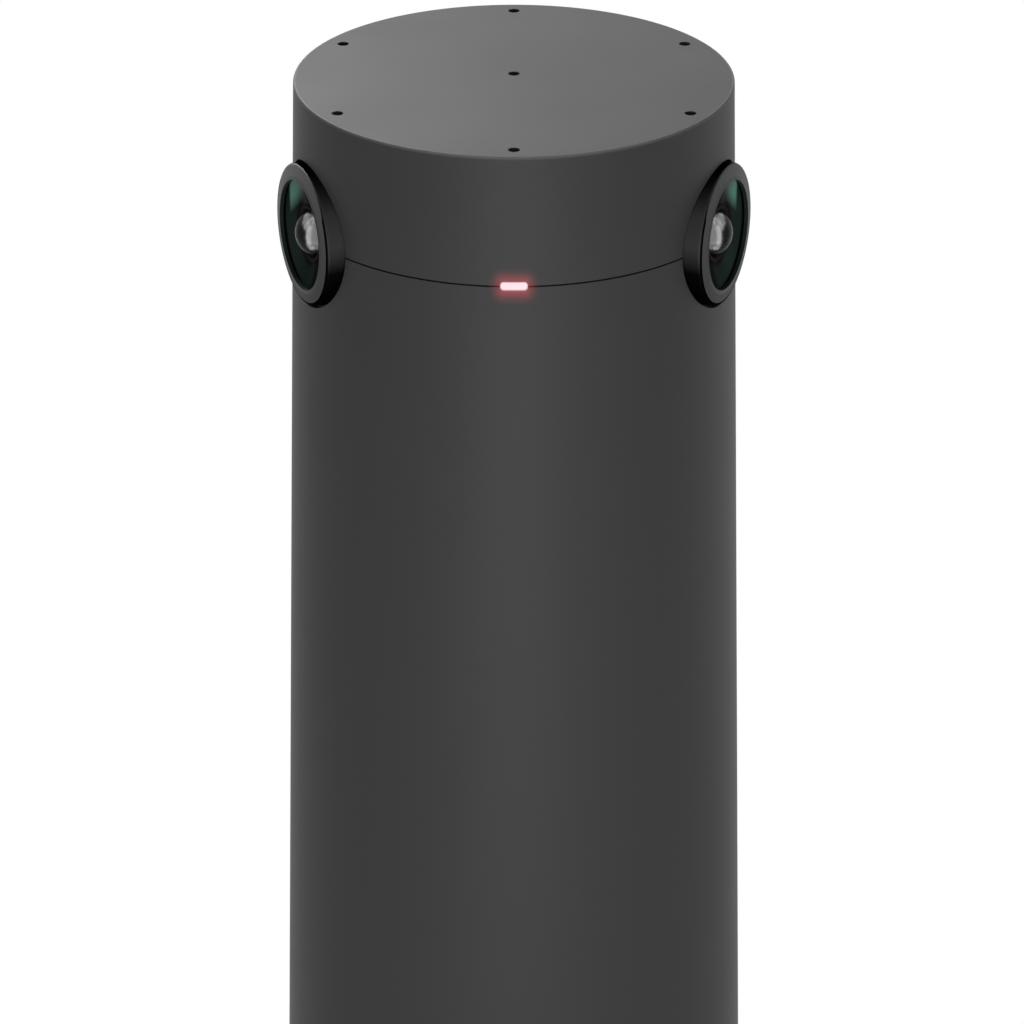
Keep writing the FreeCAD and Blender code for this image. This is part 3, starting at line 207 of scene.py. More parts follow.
def makeTraceGroup():
    # copper tracks of a circuit board: square cells with several lines round a pad in each one's middle
    tree, given, result = newGroup("boardTracks", {
        "Board": ("Color", colour(0.01, 0.07, 0.03)), "Track": ("Color", colour(0.02, 0.12, 0.05)),
        "Pad": ("Color", colour(0.5, 0.45, 0.3)), "Size": ("Float", 300.0),
    }, {"Colour": "Color", "Height": "Float", "Pad": "Float"})
    where = objectCoordinates(tree)
    cells = addNode(tree, "ShaderNodeTexVoronoi", {"Vector": where, "Scale": given["Size"]},
                    distance="CHEBYCHEV", feature="F1")
    steps = calc(tree, "FRACT", calc(tree, "MULTIPLY", cells.outputs["Distance"], tracks["steps"]))
    track = calc(tree, "LESS_THAN", steps, tracks["line"])
    pad = calc(tree, "LESS_THAN", cells.outputs["Distance"], tracks["pad"])
    tone = mixColour(tree, track, given["Board"], given["Track"])
    tree.links.new(mixColour(tree, pad, tone, given["Pad"]), result["Colour"])
    tree.links.new(calc(tree, "MAXIMUM", track, pad), result["Height"])
    tree.links.new(pad, result["Pad"])
    return tree


grainGroup = makeGrainGroup()
haloGroup = makeHaloGroup()
weaveGroup = makeWeaveGroup()
lensGroup = makeLensGroup()
traceGroup = makeTraceGroup()
print("node groups ready")

# finishes: one procedural material for each material slot of the record

def newFinish(name, look):
    # look: plain values for the shader's own sockets
    material = bpy.data.materials.new(name)
    material.use_nodes = True
    tree = material.node_tree
    shader = tree.nodes["Principled BSDF"]
    for socket, value in look.items():
        shader.inputs[socket].default_value = value
    return material, tree, shader


def addBump(tree, shader, height, depth, strength):
    # depth is the real height of the relief in metres
    bump = addNode(tree, "ShaderNodeBump", {"Height": height, "Distance": depth, "Strength": strength})
    tree.links.new(bump.outputs[0], shader.inputs["Normal"])


def grainFinish(name, values, look, relief=(0.00002, 0.3)):
    # a finish whose colour, roughness and relief all come from the grain group
    material, tree, shader = newFinish(name, look)
    grain = useGroup(tree, grainGroup, **values)
    tree.links.new(grain["Colour"], shader.inputs["Base Color"])
    tree.links.new(grain["Roughness"], shader.inputs["Roughness"])
    addBump(tree, shader, grain["Height"], *relief)
    return material, tree, shader, grain


bodyPaint = {"colour": grey(0.030), "spread": 0.05, "roughness": 0.52, "roughnessSpread": 0.05,
             "grain": 5200.0, "patches": 60.0}
halo = {"halfWidth": 0.0018, "reach": 0.0028, "power": 2.0}
haloOnPaint = colour(0.28, 0.030, 0.040)
haloOnRubber = colour(0.15, 0.010, 0.014)


def makeGlowing(name, values, glowColour, look):
    # a grained finish that also shows the status light's glow round the window
    material, tree, shader, grain = grainFinish(name, values, look, (0.000012, 0.25))
    glow = useGroup(tree, haloGroup, colour=glowColour, **halo)
    tree.links.new(glow["Colour"], shader.inputs["Emission Color"])
    shader.inputs["Emission Strength"].default_value = 1.0
    return material, tree, shader, grain


# a painted highlight on the rounded edge of the top, in metres: where it starts and ends outwards, then two
# bands of height and the lighter tone that each ends in
topEdgeHighlight = {"rim": (0.03755, 0.03768), "lower": (0.27940, 0.27970), "upper": (0.27970, 0.27996),
           "lowerTone": 0.056, "upperTone": 0.14}


def makeBodyPaint():
    # a painted highlight: the rounded edge of the top is painted lighter in two bands
    look = {"Specular IOR Level": 0.105}
    material, tree, shader, grain = makeGlowing("bodyPaint", bodyPaint, haloOnPaint, look)
    place = separate(tree, objectCoordinates(tree))
    rim = remap(tree, hypotenuse(tree, place["X"], place["Y"]), *topEdgeHighlight["rim"])
    tone = grain["Colour"]
    for band in ("lower", "upper"):
        share = calc(tree, "MULTIPLY", rim, remap(tree, place["Z"], *topEdgeHighlight[band]))
        tone = mixColour(tree, share, tone, grey(topEdgeHighlight[band + "Tone"]))
    tree.links.new(tone, shader.inputs["Base Color"])
    return material


finishes = {}
finishes["body_grey"] = makeBodyPaint()

rubber = {"colour": grey(0.008), "spread": 0.25, "roughness": 0.75, "roughnessSpread": 0.1,
          "grain": 3500.0, "patches": 90.0}
finishes["black_rubber"] = makeGlowing("blackRubber", rubber, haloOnRubber, {"Specular IOR Level": 0.3})[0]

basePlastic = {"colour": grey(0.012), "spread": 0.15, "roughness": 0.55, "roughnessSpread": 0.1,
               "grain": 3000.0, "patches": 50.0}
finishes["black_plastic"] = grainFinish("basePlastic", basePlastic, {"Specular IOR Level": 0.4},
                                        (0.00003, 0.4))[0]

barrelBlack = {"colour": grey(0.006), "spread": 0.2, "roughness": 0.5, "roughnessSpread": 0.1,
               "grain": 6000.0, "patches": 200.0}
finishes["lens_black"] = grainFinish("barrelBlack", barrelBlack, {"Specular IOR Level": 0.3})[0]

buttonGrey = {"colour": grey(0.2), "spread": 0.1, "roughness": 0.45, "roughnessSpread": 0.1,
              "grain": 5000.0, "patches": 300.0}
finishes["button_grey"] = grainFinish("buttonGrey", buttonGrey, {})[0]

# metals, each with the height of its relief; the grain of the drawn and turned ones is stretched one way
metals = {
    "aluminium": ({"colour": grey(0.55), "spread": 0.12, "roughness": 0.38, "roughnessSpread": 0.2,
                   "grain": 2500.0, "patches": 60.0, "stretch": (1.0, 1.0, 0.04)}, 0.00001),
    "bracket_alu": ({"colour": grey(0.6), "spread": 0.1, "roughness": 0.32, "roughnessSpread": 0.2,
                     "grain": 2500.0, "patches": 80.0, "stretch": (0.05, 1.0, 1.0)}, 0.00001),
    "steel": ({"colour": colour(0.5, 0.5, 0.51), "spread": 0.15, "roughness": 0.3, "roughnessSpread": 0.2,
               "grain": 4000.0, "patches": 300.0, "stretch": (1.0, 1.0, 0.3)}, 0.00001),
    "cast_iron": ({"colour": colour(0.10, 0.095, 0.09), "spread": 0.5, "roughness": 0.62,
                   "roughnessSpread": 0.3, "grain": 900.0, "patches": 120.0}, 0.00012),
    "brass": ({"colour": colour(0.62, 0.42, 0.16), "spread": 0.15, "roughness": 0.28, "roughnessSpread": 0.2,
               "grain": 3000.0, "patches": 300.0, "stretch": (1.0, 1.0, 0.2)}, 0.00001),
    "tin": ({"colour": grey(0.62), "spread": 0.1, "roughness": 0.3, "roughnessSpread": 0.2,
             "grain": 2500.0, "patches": 120.0}, 0.00001),
}
for slotName, (values, relief) in metals.items():
    finishes[slotName] = grainFinish(slotName.replace("_", "") + "Metal", values, {"Metallic": 1.0},
                                     (relief, 0.3))[0]

plainParts = {
    "chip_black": {"colour": grey(0.015), "spread": 0.2, "roughness": 0.5, "roughnessSpread": 0.1,
                   "grain": 5000.0, "patches": 300.0},
    "pad_grey": {"colour": grey(0.3), "spread": 0.2, "roughness": 0.7, "roughnessSpread": 0.1,
                 "grain": 1500.0, "patches": 300.0},
    "connector_beige": {"colour": colour(0.72, 0.66, 0.52), "spread": 0.08, "roughness": 0.45,
                        "roughnessSpread": 0.1, "grain": 3000.0, "patches": 200.0},
}
for slotName, values in plainParts.items():
    finishes[slotName] = grainFinish(slotName.replace("_", "") + "Finish", values, {})[0]


bezelPaint = {"colour": grey(0.026), "spread": 0.05, "roughness": 0.46, "roughnessSpread": 0.05,
              "grain": 7000.0, "patches": 150.0}


# places along the lens axis, above it and out from it, in metres; with four numbers, the last two are
# what comes out at the first two
# painted light on the bezel: a grey painted reflection on the side wall, a painted shade line and painted
# shade low on the face
bezelMarks = {
    "wallTop": (0.0060, 0.0100, 0.03942, 0.03920),      # where the face ends: two heights, two depths
    "greyMiddle": 0.0046, "greyReach": (0.0025, 0.0075, 0.05, 1.0), "lineDepth": 0.03922,
    "shade": (-0.0120, 0.0040, 0.40, 0.0), "bore": 0.01025,
    "boreTone": colour(0.008, 0.012, 0.011), "wallTone": grey(0.0025),
}


def makeBezel():
    # satin face, dark bore; the side wall is black with painted shade, but for a soft grey painted reflection
    # of the front light; a fine painted shade line parts it from the face, and painted shade darkens the
    # face's bottom
    look = {"Specular IOR Level": 0.15, "Specular Tint": grey(0.3)}
    material, tree, shader, grain = grainFinish("bezelPaint", bezelPaint, look, (0.00001, 0.2))
    place = useGroup(tree, lensGroup)
    marks = bezelMarks
    edge = remap(tree, place["Up"], *marks["wallTop"])
    wall = calc(tree, "LESS_THAN", place["Depth"], edge)
    # painted reflection: the wall stays grey in a band round one height, as if it mirrored the front light
    away = calc(tree, "ABSOLUTE", calc(tree, "SUBTRACT", place["Up"], marks["greyMiddle"]))
    shadeShare = remap(tree, away, *marks["greyReach"])
    # painted shade: a fine black line along the wall's edge by the face
    line = calc(tree, "GREATER_THAN", place["Depth"], marks["lineDepth"])
    shadeShare = calc(tree, "MULTIPLY", wall, calc(tree, "MAXIMUM", shadeShare, line))
    # painted shade: the face turns darker towards the bottom
    shadeShare = calc(tree, "MAXIMUM", shadeShare, remap(tree, place["Up"], *marks["shade"]))
    outside = calc(tree, "GREATER_THAN", place["Radius"], marks["bore"])
    tone = mixColour(tree, shadeShare, grain["Colour"], marks["wallTone"])
    tree.links.new(mixColour(tree, outside, marks["boreTone"], tone), shader.inputs["Base Color"])
    # the painted shade is also made metallic, so that it keeps little light of its own
    tree.links.new(calc(tree, "MULTIPLY", shadeShare, outside), shader.inputs["Metallic"])
    return material


finishes["bezel_grey"] = makeBezel()


# the painted reflection's wedge: slopes and limits of its two sides, then where it dulls, darkens and ends,
# in metres
dishMarks = {
    "rearSlope": -0.64, "rear": (-0.0127, -0.0119), "rightShift": -0.0006,
    "lowSlope": -0.9, "low": (0.0078, 0.0102), "dull": (-0.0050, 0.0005),
    "rightShade": (-0.0080, -0.0055, 0.65, 0.15), "middle": (0.0052, 0.0062),
    "enamel": (0.0005, 0.0035, 1.0, 0.0), "middleTone": colour(0.010, 0.008, 0.007),
    "coat": colour(0.075, 0.160, 0.126), "dullCoat": colour(0.072, 0.088, 0.080), "shadeTone": grey(0.01),
}
dishEnamel = {"colour": colour(0.0120, 0.0175, 0.0155), "spread": 0.15, "roughness": 0.2,
              "roughnessSpread": 0.05, "grain": 9000.0, "patches": 300.0}


def makeLensDish():
    # gloss-black dish with a painted reflection: a green coating's tint that shows in a wedge at the upper
    # rear of the opening
    look = {"Specular IOR Level": 0.0, "Specular Tint": grey(0.46)}
    material, tree, shader = newFinish("lensDish", look)
    place = useGroup(tree, lensGroup)
    marks = dishMarks
    shifted = calc(tree, "MULTIPLY_ADD", place["Right"], marks["rightShift"], place["Side"])
    rear = calc(tree, "MULTIPLY_ADD", place["Radius"], marks["rearSlope"], shifted)
    low = calc(tree, "MULTIPLY_ADD", place["Side"], marks["lowSlope"], place["Up"])
    reflectionWedge = calc(tree, "MULTIPLY", remap(tree, rear, *marks["rear"]), remap(tree, low, *marks["low"]))
    coat = mixColour(tree, remap(tree, place["Side"], *marks["dull"]), marks["coat"], marks["dullCoat"])
    # painted shade: the painted reflection is darker on the right lens
    shade = calc(tree, "MULTIPLY", place["Right"], remap(tree, place["Side"], *marks["rightShade"]))
    coat = mixColour(tree, shade, coat, marks["shadeTone"])
    grain = useGroup(tree, grainGroup, **dishEnamel)
    outward = remap(tree, place["Radius"], *marks["middle"])
    base = mixColour(tree, outward, marks["middleTone"], grain["Colour"])
    # towards the front the metallic mirror that carries the painted reflection gives way to plain dark enamel
    tree.links.new(remap(tree, place["Side"], *marks["enamel"]), shader.inputs["Metallic"])
    tree.links.new(mixColour(tree, reflectionWedge, base, coat), shader.inputs["Base Color"])
    tree.links.new(grain["Roughness"], shader.inputs["Roughness"])
    return material


smear = {"roughness": 0.20, "roughnessSpread": 0.01, "grain": 2500.0, "patches": 400.0}


def makeGlass(name, ior, tint):
    # the grain changes only the roughness of the glass, as a faint smear does
    look = {"Transmission Weight": 1.0, "IOR": ior, "Base Color": tint, "Specular IOR Level": 0.5}
    material, tree, shader = newFinish(name, look)
    grain = useGroup(tree, grainGroup, **smear)
    tree.links.new(grain["Roughness"], shader.inputs["Roughness"])
    return material


# the bright core of the window, its rise over the seam and the share of it where pink turns to white
windowCore = {"halfWidth": 0.00170, "halfHeight": 0.00012, "reach": 0.00075, "power": 1.0}
windowLook = {"rise": 0.00008, "turn": (0.14, 0.42), "rim": colour(0.50, 0.19, 0.21),
              "core": colour(0.93, 0.77, 0.81)}


def makeLightWindow():
    # the lit window: nearly white in the middle, pink at its rim
    look = {"Base Color": colour(0.03, 0.01, 0.01), "Roughness": 0.5, "Emission Strength": 1.0,
            "Specular IOR Level": 0.1}
    material, tree, shader = newFinish("lightWindow", look)
    core = useGroup(tree, haloGroup, height=seamHeight + windowLook["rise"], colour=grey(1), **windowCore)
    share = remap(tree, core["Mask"], *windowLook["turn"])
    glow = mixColour(tree, share, windowLook["rim"], windowLook["core"])
    tree.links.new(glow, shader.inputs["Emission Color"])
    return material


def makeLightChip():
    material, tree, shader, grain = grainFinish(
        "lightChip", {"colour": colour(0.8, 0.5, 0.3), "roughness": 0.4}, {"Emission Strength": 1.0})
    tree.links.new(mixColour(tree, grain["Height"], colour(1.0, 0.3, 0.3), colour(1.0, 0.5, 0.5)),
                   shader.inputs["Emission Color"])
    return material


def makeMicMesh():
    material, tree, shader = newFinish("micMesh", {"Roughness": 0.6})
    weave = useGroup(tree, weaveGroup, pitch=wireMesh["pitch"])
    tree.links.new(weave["Colour"], shader.inputs["Base Color"])
    addBump(tree, shader, weave["Height"], 0.00005, 0.8)
    return material


def makeBoard():
    material, tree, shader = newFinish("boardGreen", {"Roughness": 0.35})
    copper = useGroup(tree, traceGroup)
    tree.links.new(copper["Colour"], shader.inputs["Base Color"])
    tree.links.new(copper["Pad"], shader.inputs["Metallic"])
    addBump(tree, shader, copper["Height"], 0.00003, 0.5)
    return material


ribbonLines = {"slant": 0.4, "turn": 9000.0, "edge": (-0.1, 0.3)}     # turn: radians per metre


def makeRibbon():
    # amber film with copper lines that run along it
    material, tree, shader = newFinish("ribbonAmber", {"Roughness": 0.3})
    place = separate(tree, objectCoordinates(tree))
    across = calc(tree, "MULTIPLY_ADD", place["Y"], ribbonLines["slant"], place["X"])
    line = remap(tree, calc(tree, "SINE", calc(tree, "MULTIPLY", across, ribbonLines["turn"])),
                 *ribbonLines["edge"])
    film = mixColour(tree, line, colour(0.42, 0.16, 0.03), colour(0.62, 0.30, 0.08))
    tree.links.new(film, shader.inputs["Base Color"])
    addBump(tree, shader, line, 0.00003, 0.4)
    return material


finishes["trim_gloss"] = makeLensDish()
# low index and dark tint: the domes mirror little of the white surroundings, and what they mirror is smooth
finishes["lens_glass"] = makeGlass("lensGlass", 1.13, grey(0.00015))
finishes["filter_glass"] = makeGlass("filterGlass", 1.5, colour(0.55, 0.85, 0.85))
finishes["light_clear"] = makeLightWindow()
finishes["light_chip"] = makeLightChip()
finishes["mesh_black"] = makeMicMesh()
finishes["board_green"] = makeBoard()
finishes["ribbon_amber"] = makeRibbon()

slotOfNode = {part["node"]: part["material_slot"] for part in frame["record"]["subparts"]}
for name, node in nodes.items():
    node.data.materials.clear()
    node.data.materials.append(finishes[slotOfNode[name]])
print("finishes on", len(nodes), "nodes")

# new pieces: each is a grid of points worked out from two parameters

def loopPiece(name, points, body, material, closed=False):
    # points: rows along the piece, columns round it; a list of such grids makes one piece of several.
    # The columns always close; the rows close on a ring, otherwise a fan round each end's middle shuts it
    grids = points if points.ndim == 4 else points[None]
    count, rows, columns = grids.shape[:3]
    index = np.arange(rows * columns).reshape(rows, columns)
    lower = index if closed else index[:-1]
    upper = np.roll(index, -1, axis=0) if closed else index[1:]
    quads = np.stack([lower, np.roll(lower, -1, 1), np.roll(upper, -1, 1), upper], -1).reshape(-1, 4)
    middles = grids[:, [0, -1]].mean(axis=2)
    size = rows * columns + (0 if closed else 2)
    flat = grids.reshape(count, -1, 3)
    flat = (flat if closed else np.concatenate([flat, middles], axis=1)).reshape(-1, 3)
    shift = np.arange(count)[:, None, None] * size
    faces = (quads + shift).reshape(-1, 4).tolist()
    if not closed:
        low = np.stack([np.full(columns, size - 2), np.roll(index[0], -1), index[0]], -1)
        high = np.stack([np.full(columns, size - 1), index[-1], np.roll(index[-1], -1)], -1)
        faces += (np.concatenate([low, high]) + shift).reshape(-1, 3).tolist()
    # the first grid's signed volume says whether the faces look outward
    corners = flat[quads] - middles[0, 0]
    volume = np.einsum("ij,ij->", corners[:, 0], np.cross(corners[:, 1], corners[:, 2]))
    volume += np.einsum("ij,ij->", corners[:, 0], np.cross(corners[:, 2], corners[:, 3]))
    if volume < 0:
        faces = [face[::-1] for face in faces]
    mesh = bpy.data.meshes.new(name)
    mesh.from_pydata(flat.tolist(), [], faces)
    mesh.polygons.foreach_set("use_smooth", np.ones(len(faces), dtype=bool))
    mesh.materials.append(material)
    piece = bpy.data.objects.new(name, mesh)
    bpy.context.scene.collection.objects.link(piece)
    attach(piece, body)
    return piece


def ringAbout(profile, origin, axis, turns=96):
    # a closed outline of (radius, depth) pairs turned about an axis that isn't upright:
    # point = origin + axis * depth + (side * cos turn + up * sin turn) * radius
    axis = np.array(axis) / np.linalg.norm(axis)
    side = np.cross(axis, [0.0, 0.0, 1.0])
    side /= np.linalg.norm(side)
    up = np.cross(side, axis)
    turn = np.linspace(0, 2 * np.pi, turns, endpoint=False)[:, None, None]
    radius, depth = np.array(profile).T[:, None, :, None]
    return np.array(origin) + axis * depth + (side * np.cos(turn) + up * np.sin(turn)) * radius


def sweepAlong(path, width, height, sideways, columns=8):
    # a rounded rectangle carried along a path: at each point, offset = sideways * width * c
    # + normal * height * s, where c and s are the signed square roots of cos and sin
    path = np.array(path)
    along = np.gradient(path, axis=0)
    along /= np.linalg.norm(along, axis=1, keepdims=True)
    sideways = np.array(sideways) / np.linalg.norm(sideways)
    normal = np.cross(along, sideways)
    turn = np.linspace(0, 2 * np.pi, columns, endpoint=False) + np.pi / columns
    c, s = (np.sign(f) * np.sqrt(np.abs(f)) / 2 for f in (np.cos(turn), np.sin(turn)))
    return (path[:, None] + sideways * width * c[None, :, None]
            + normal[:, None] * height * s[None, :, None])


lensRing = {"inner": 4.20, "outer": 5.05, "low": 37.74, "rise": 0.16, "slope": 0.266, "sunk": 0.06,
            "bulge": 0.7, "steps": 13}      # millimetres, but for slope, bulge and steps


def makeLensRing(side, material):
    # the ring that holds the front lens, on the dish's slope: height = rise * (sine of t) to the power of
    # bulge, while t goes from 0 to pi across the ring
    sign = 1 if side == "Right" else -1
    axis = (sign * math.sin(lensAngle), -math.cos(lensAngle), 0.0)
    t = np.linspace(0, np.pi, lensRing["steps"])
    middle, half = (lensRing["inner"] + lensRing["outer"]) / 2, (lensRing["outer"] - lensRing["inner"]) / 2
    radius = middle - half * np.cos(t)
    base = lensRing["low"] + lensRing["slope"] * (radius - lensRing["inner"])
    top = base + lensRing["rise"] * np.sin(t) ** lensRing["bulge"]
    radius = np.concatenate([radius, radius[::-1][1:-1]])
    depth = np.concatenate([top, (base - lensRing["sunk"])[::-1][1:-1]])
    points = ringAbout(np.stack([radius, depth], -1) * mm, (0, 0, seamHeight), axis)
    loopPiece("lensRing" + side, points, "camera", material, closed=True)


ringBlack = {"colour": colour(0.0028, 0.0022, 0.0020), "spread": 0.2, "roughness": 0.6,
             "roughnessSpread": 0.1, "grain": 8000.0, "patches": 300.0}
ringFinish = grainFinish("ringBlack", ringBlack, {"Specular IOR Level": 0.02}, (0.000005, 0.2))[0]
for side in ("Left", "Right"):
    makeLensRing(side, ringFinish)

thread = {"radius": 2.61, "depth": 0.26, "pitch": 1.27, "low": 2.6, "high": 12.4, "width": 0.62,
          "sunk": 0.05, "fade": 0.6, "thinnest": 0.02, "perTurn": 40}   # millimetres, but for the last two


def makeThread():
    # a ridge wound up the tripod bore: angle = 2 pi * height / pitch, three corners across
    steps = int((thread["high"] - thread["low"]) / thread["pitch"] * thread["perTurn"])
    height = np.linspace(thread["low"], thread["high"], steps)
    turn = 2 * np.pi * height / thread["pitch"]
    fade = np.minimum(height - thread["low"], thread["high"] - height) / thread["fade"]
    fade = np.clip(fade, thread["thinnest"], 1)
    out = np.stack([np.cos(turn), np.sin(turn), 0 * turn], -1)
    root, half = thread["radius"] + thread["sunk"], thread["width"] / 2 * fade
    rows = [out * root + np.outer(height - half, [0, 0, 1]),
            out * (thread["radius"] - thread["depth"] * fade)[:, None] + np.outer(height, [0, 0, 1]),
            out * root + np.outer(height + half, [0, 0, 1])]
    loopPiece("tripodThread", np.stack(rows, 1) * mm, "camera", finishes["brass"])


makeThread()

contacts = {      # millimetres, but for bend, count and steps
    "network": {"x": -8.0, "y": 16.4, "lean": 3.6, "bow": 0.9, "low": 42.6, "rise": 9.8, "bend": 1.3,
                "pitch": 1.02, "count": 8, "width": 0.42, "thick": 0.3, "steps": 24},
    "flat": {"x": 5.6, "y": 15.23, "pitch": 0.5, "count": 12, "width": 0.26, "thick": 0.1, "low": 42.1,
             "high": 45.6, "out": 0.34, "steps": 6},
}
contactGold = {"colour": colour(0.83, 0.60, 0.25), "spread": 0.1, "roughness": 0.22,
               "roughnessSpread": 0.15, "grain": 5000.0, "patches": 400.0}


def makeContacts(material):
    # network: wires that rise from the socket's mouth and bend over: y follows a sine, z a power of t
    made = contacts["network"]
    places = made["x"] + (np.arange(made["count"]) - (made["count"] - 1) / 2) * made["pitch"]
    t = np.linspace(0, 1, made["steps"])
    y = made["y"] + made["lean"] * t + made["bow"] * np.sin(np.pi * t)
    z = made["low"] + made["rise"] * t ** made["bend"]
    wires = [sweepAlong(np.stack([x + 0 * t, y, z], -1), made["width"], made["thick"], (1, 0, 0))
             for x in places]
    loopPiece("networkContacts", np.array(wires) * mm, "camera", material)
    # flat socket: straight strips on both faces of its tongue
    made = contacts["flat"]
    places = made["x"] + (np.arange(made["count"]) - (made["count"] - 1) / 2) * made["pitch"]
    height = np.linspace(made["low"], made["high"], made["steps"])
    still = 0 * height
    strips = [sweepAlong(np.stack([x + still, made["y"] + face * made["out"] + still, height], -1),
                         made["width"], made["thick"], (1, 0, 0)) for x in places for face in (-1, 1)]
    loopPiece("flatContacts", np.array(strips) * mm, "camera", material)


makeContacts(grainFinish("goldContact", contactGold, {"Metallic": 1.0}, (0.000004, 0.2))[0])
print("new pieces ready")

# studio: lamps, floor and the light all round

# around: light from all sides; whiter: two distances, and the floor's share of plain white at each
studio = {"around": 0.2, "whiter": (0.06, 0.145, 0.35, 1.0)}
floorPaint = {"colour": grey(0.8), "spread": 0.02, "roughness": 0.9, "grain": 900.0, "patches": 8.0}


def addLamp(name, azimuth, elevation, distance, width, height, power, aim=(0.0, 0.0, 0.2)):
    # a soft panel round the object: azimuth 0 is in front and +90 is to the right of the picture
    turn, rise = math.radians(azimuth), math.radians(elevation)
    away = np.array([math.sin(turn) * math.cos(rise), -math.cos(turn) * math.cos(rise), math.sin(rise)])
    data = bpy.data.lights.new(name, "AREA")
    data.shape = "RECTANGLE"
    data.size, data.size_y = width, height
    data.energy = power
    lamp = bpy.data.objects.new(name, data)
    bpy.context.scene.collection.objects.link(lamp)
    lamp.location = np.array(aim) + away * distance
    lamp.rotation_euler = (math.radians(90) - rise, 0.0, turn)
    lamp.visible_camera = False
    return lamp


def lightOnly(lamp, names):
    # the lamp reaches these nodes alone
    group = bpy.data.collections.new(lamp.name + "Reach")
    for name in names:
        group.objects.link(nodes[name])
    lamp.light_linking.receiver_collection = group


lamps = {
    "frontPanel": (0, 0, 0.40, 0.20, 0.38, 1.50),
    "frontRight": (30, 0, 0.40, 0.18, 0.38, 0.13),
    "rearRight": (120, 0, 0.40, 0.18, 0.38, 0.11),
    "back": (178, 18, 1.2, 0.6, 0.8, 3.1),
    "backHigh": (-158, 36, 0.35, 0.15, 0.15, 1.0, (0.0, 0.0, 0.28)),
}
for name, values in lamps.items():
    addLamp(name, *values)

# soft boxes that only the front lens on their side mirrors, in degrees, metres and watts
domeBoxes = {
    "slim": {"azimuth": 54, "elevation": 0, "width": 0.11, "height": 0.40, "power": 13.5},
    "slimBend": {"azimuth": 73, "elevation": 27, "width": 0.12, "height": 0.14, "power": 2.5},
    "slimHigh": {"azimuth": 96, "elevation": 33, "width": 0.16, "height": 0.14, "power": 2.2},
    "slimLow": {"azimuth": 58, "elevation": -47, "width": 0.11, "height": 0.14, "power": 2.3},
    "wide": {"azimuth": 24, "elevation": 0, "width": 0.195, "height": 0.40, "power": 12.0},
    "wideHigh": {"azimuth": 30, "elevation": 50, "width": 0.20, "height": 0.16, "power": 4.6},
    "wideLow": {"azimuth": 20, "elevation": -47, "width": 0.17, "height": 0.14, "power": 2.3},
    "roof": {"azimuth": 60, "elevation": 78, "width": 0.20, "height": 0.16, "power": 2.7},
    "roofBack": {"azimuth": 104, "elevation": 58, "width": 0.16, "height": 0.12, "power": 1.2},
    "backHigh": {"azimuth": 132, "elevation": 34, "width": 0.14, "height": 0.12, "power": 0.9},
    "bend": {"azimuth": 74, "elevation": 51, "width": 0.17, "height": 0.14, "power": 2.8},
}
edgeBox = {"azimuth": -135, "elevation": 22, "width": 0.40, "height": 0.30, "power": 3.2}
boxDistance, edgeDistance = 0.28, 0.5
lensX, lensY = 0.036, -0.015        # where the right lens is, seen from above
for sign, side in ((-1, "Left"), (1, "Right")):
    aim = (sign * lensX, lensY, seamHeight)
    for name, box in domeBoxes.items():
        lamp = addLamp(name + side, sign * box["azimuth"], box["elevation"], boxDistance, box["width"],
                       box["height"], box["power"], aim)
        lightOnly(lamp, ["front_lens_" + side.lower()])
lamp = addLamp("edgeLeft", edgeBox["azimuth"], edgeBox["elevation"], edgeDistance, edgeBox["width"],
               edgeBox["height"], edgeBox["power"], (-lensX, lensY, seamHeight))
lightOnly(lamp, ["lens_bezel_left"])


def whiteRays(tree):
    # camera, mirror and glass rays see the white background, only soft bounced light doesn't
    path = addNode(tree, "ShaderNodeLightPath").outputs
    return calc(tree, "MAXIMUM", path["Is Camera Ray"],
                calc(tree, "MAXIMUM", path["Is Glossy Ray"], path["Is Transmission Ray"]))


world = bpy.data.worlds.new("studioAir")
bpy.context.scene.world = world
world.use_nodes = True
tree = world.node_tree
tree.nodes.clear()
soft = addNode(tree, "ShaderNodeBackground", {"Color": grey(1), "Strength": studio["around"]})
white = addNode(tree, "ShaderNodeBackground", {"Color": grey(1), "Strength": 1.0})
either = addNode(tree, "ShaderNodeMixShader", {0: whiteRays(tree), 1: soft.outputs[0], 2: white.outputs[0]})
addNode(tree, "ShaderNodeOutputWorld", {0: either.outputs[0]})


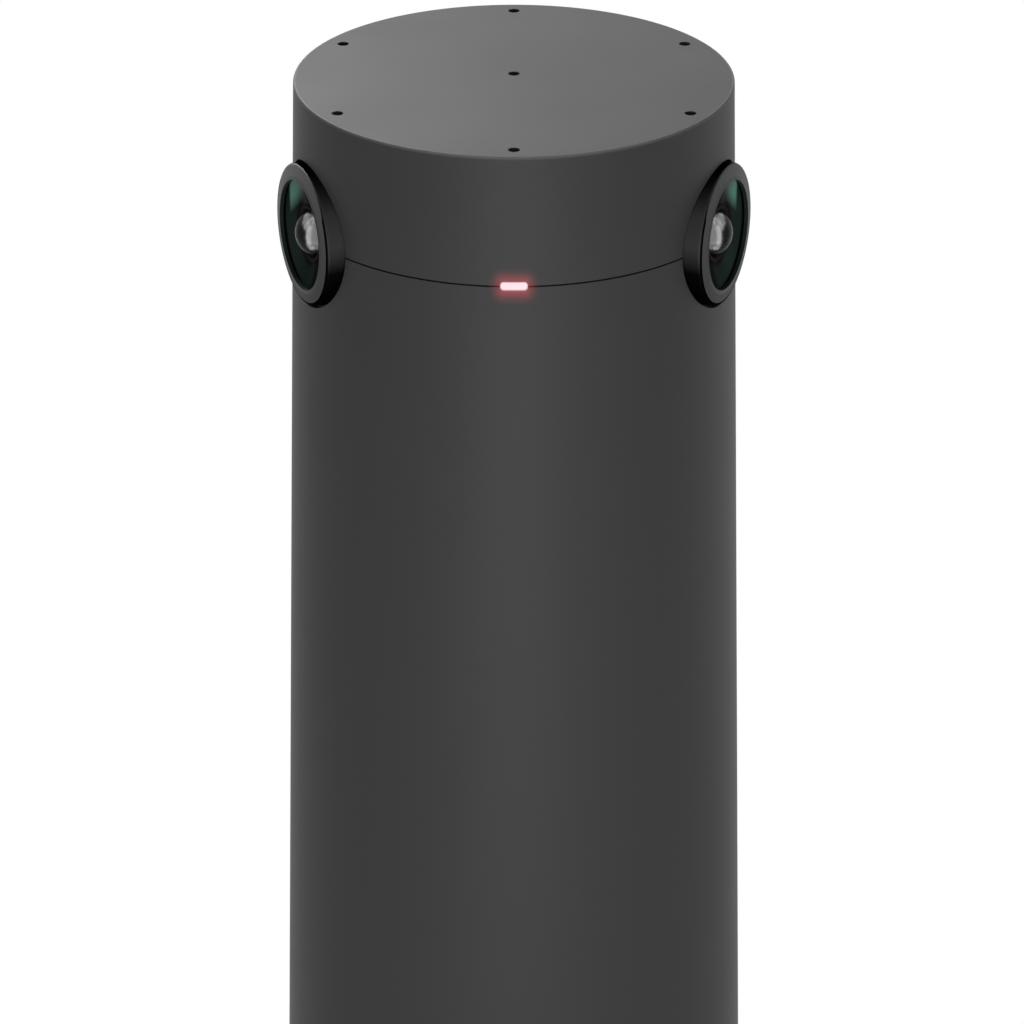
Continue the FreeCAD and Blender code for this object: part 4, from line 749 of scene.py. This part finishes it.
def makeFloor(radius=3.0, first=0.02, rings=24, turns=96):
    # flat disc: rings of points whose spacing grows with the square of the ring's number
    reach = radius * np.linspace(first, 1, rings) ** 2
    turn = np.linspace(0, 2 * np.pi, turns, endpoint=False)
    ring, angle = np.meshgrid(reach, turn, indexing="ij")
    points = np.stack([ring * np.cos(angle), ring * np.sin(angle), 0 * ring], axis=-1)
    index = np.arange(rings * turns).reshape(rings, turns)
    after = np.roll(index, -1, axis=1)
    quads = np.stack([index[:-1], index[1:], after[1:], after[:-1]], axis=-1).reshape(-1, 4)
    mesh = bpy.data.meshes.new("studioFloor")
    mesh.from_pydata(points.reshape(-1, 3).tolist(), [], quads.tolist() + [index[0].tolist()])
    floor = bpy.data.objects.new("studioFloor", mesh)
    bpy.context.scene.collection.objects.link(floor)
    material, tree, shader = newFinish("floorWhite", {"Roughness": 0.9, "Specular IOR Level": 0.1})
    grain = useGroup(tree, grainGroup, **floorPaint)
    tree.links.new(grain["Colour"], shader.inputs["Base Color"])
    # further out the floor turns to plain white for those rays that see the background
    place = separate(tree, objectCoordinates(tree))
    away = remap(tree, hypotenuse(tree, place["X"], place["Y"]), *studio["whiter"])
    far = calc(tree, "MULTIPLY", away, whiteRays(tree))
    plain = addNode(tree, "ShaderNodeEmission", {"Color": grey(1), "Strength": 1.0})
    both = addNode(tree, "ShaderNodeMixShader", {0: far, 1: shader.outputs[0], 2: plain.outputs[0]})
    tree.links.new(both.outputs[0], tree.nodes["Material Output"].inputs["Surface"])
    mesh.materials.append(material)


makeFloor()
print("studio ready")

# camera, as the photograph was taken: metres, degrees below level, millimetres

photo = {"place": (-0.00033, -0.89059, 0.60799), "down": 24.7327, "lens": 193.255}
cameraData = bpy.data.cameras.new("photoCamera")
cameraData.sensor_width = 36.0
cameraData.lens = photo["lens"]
cameraData.clip_start, cameraData.clip_end = 0.01, 20.0
camera = bpy.data.objects.new("photoCamera", cameraData)
bpy.context.scene.collection.objects.link(camera)
camera.location = photo["place"]
camera.rotation_euler = (math.radians(90 - photo["down"]), 0.0, 0.0)
bpy.context.scene.camera = camera
bpy.context.scene.view_settings.view_transform = "Standard"
print("camera ready")
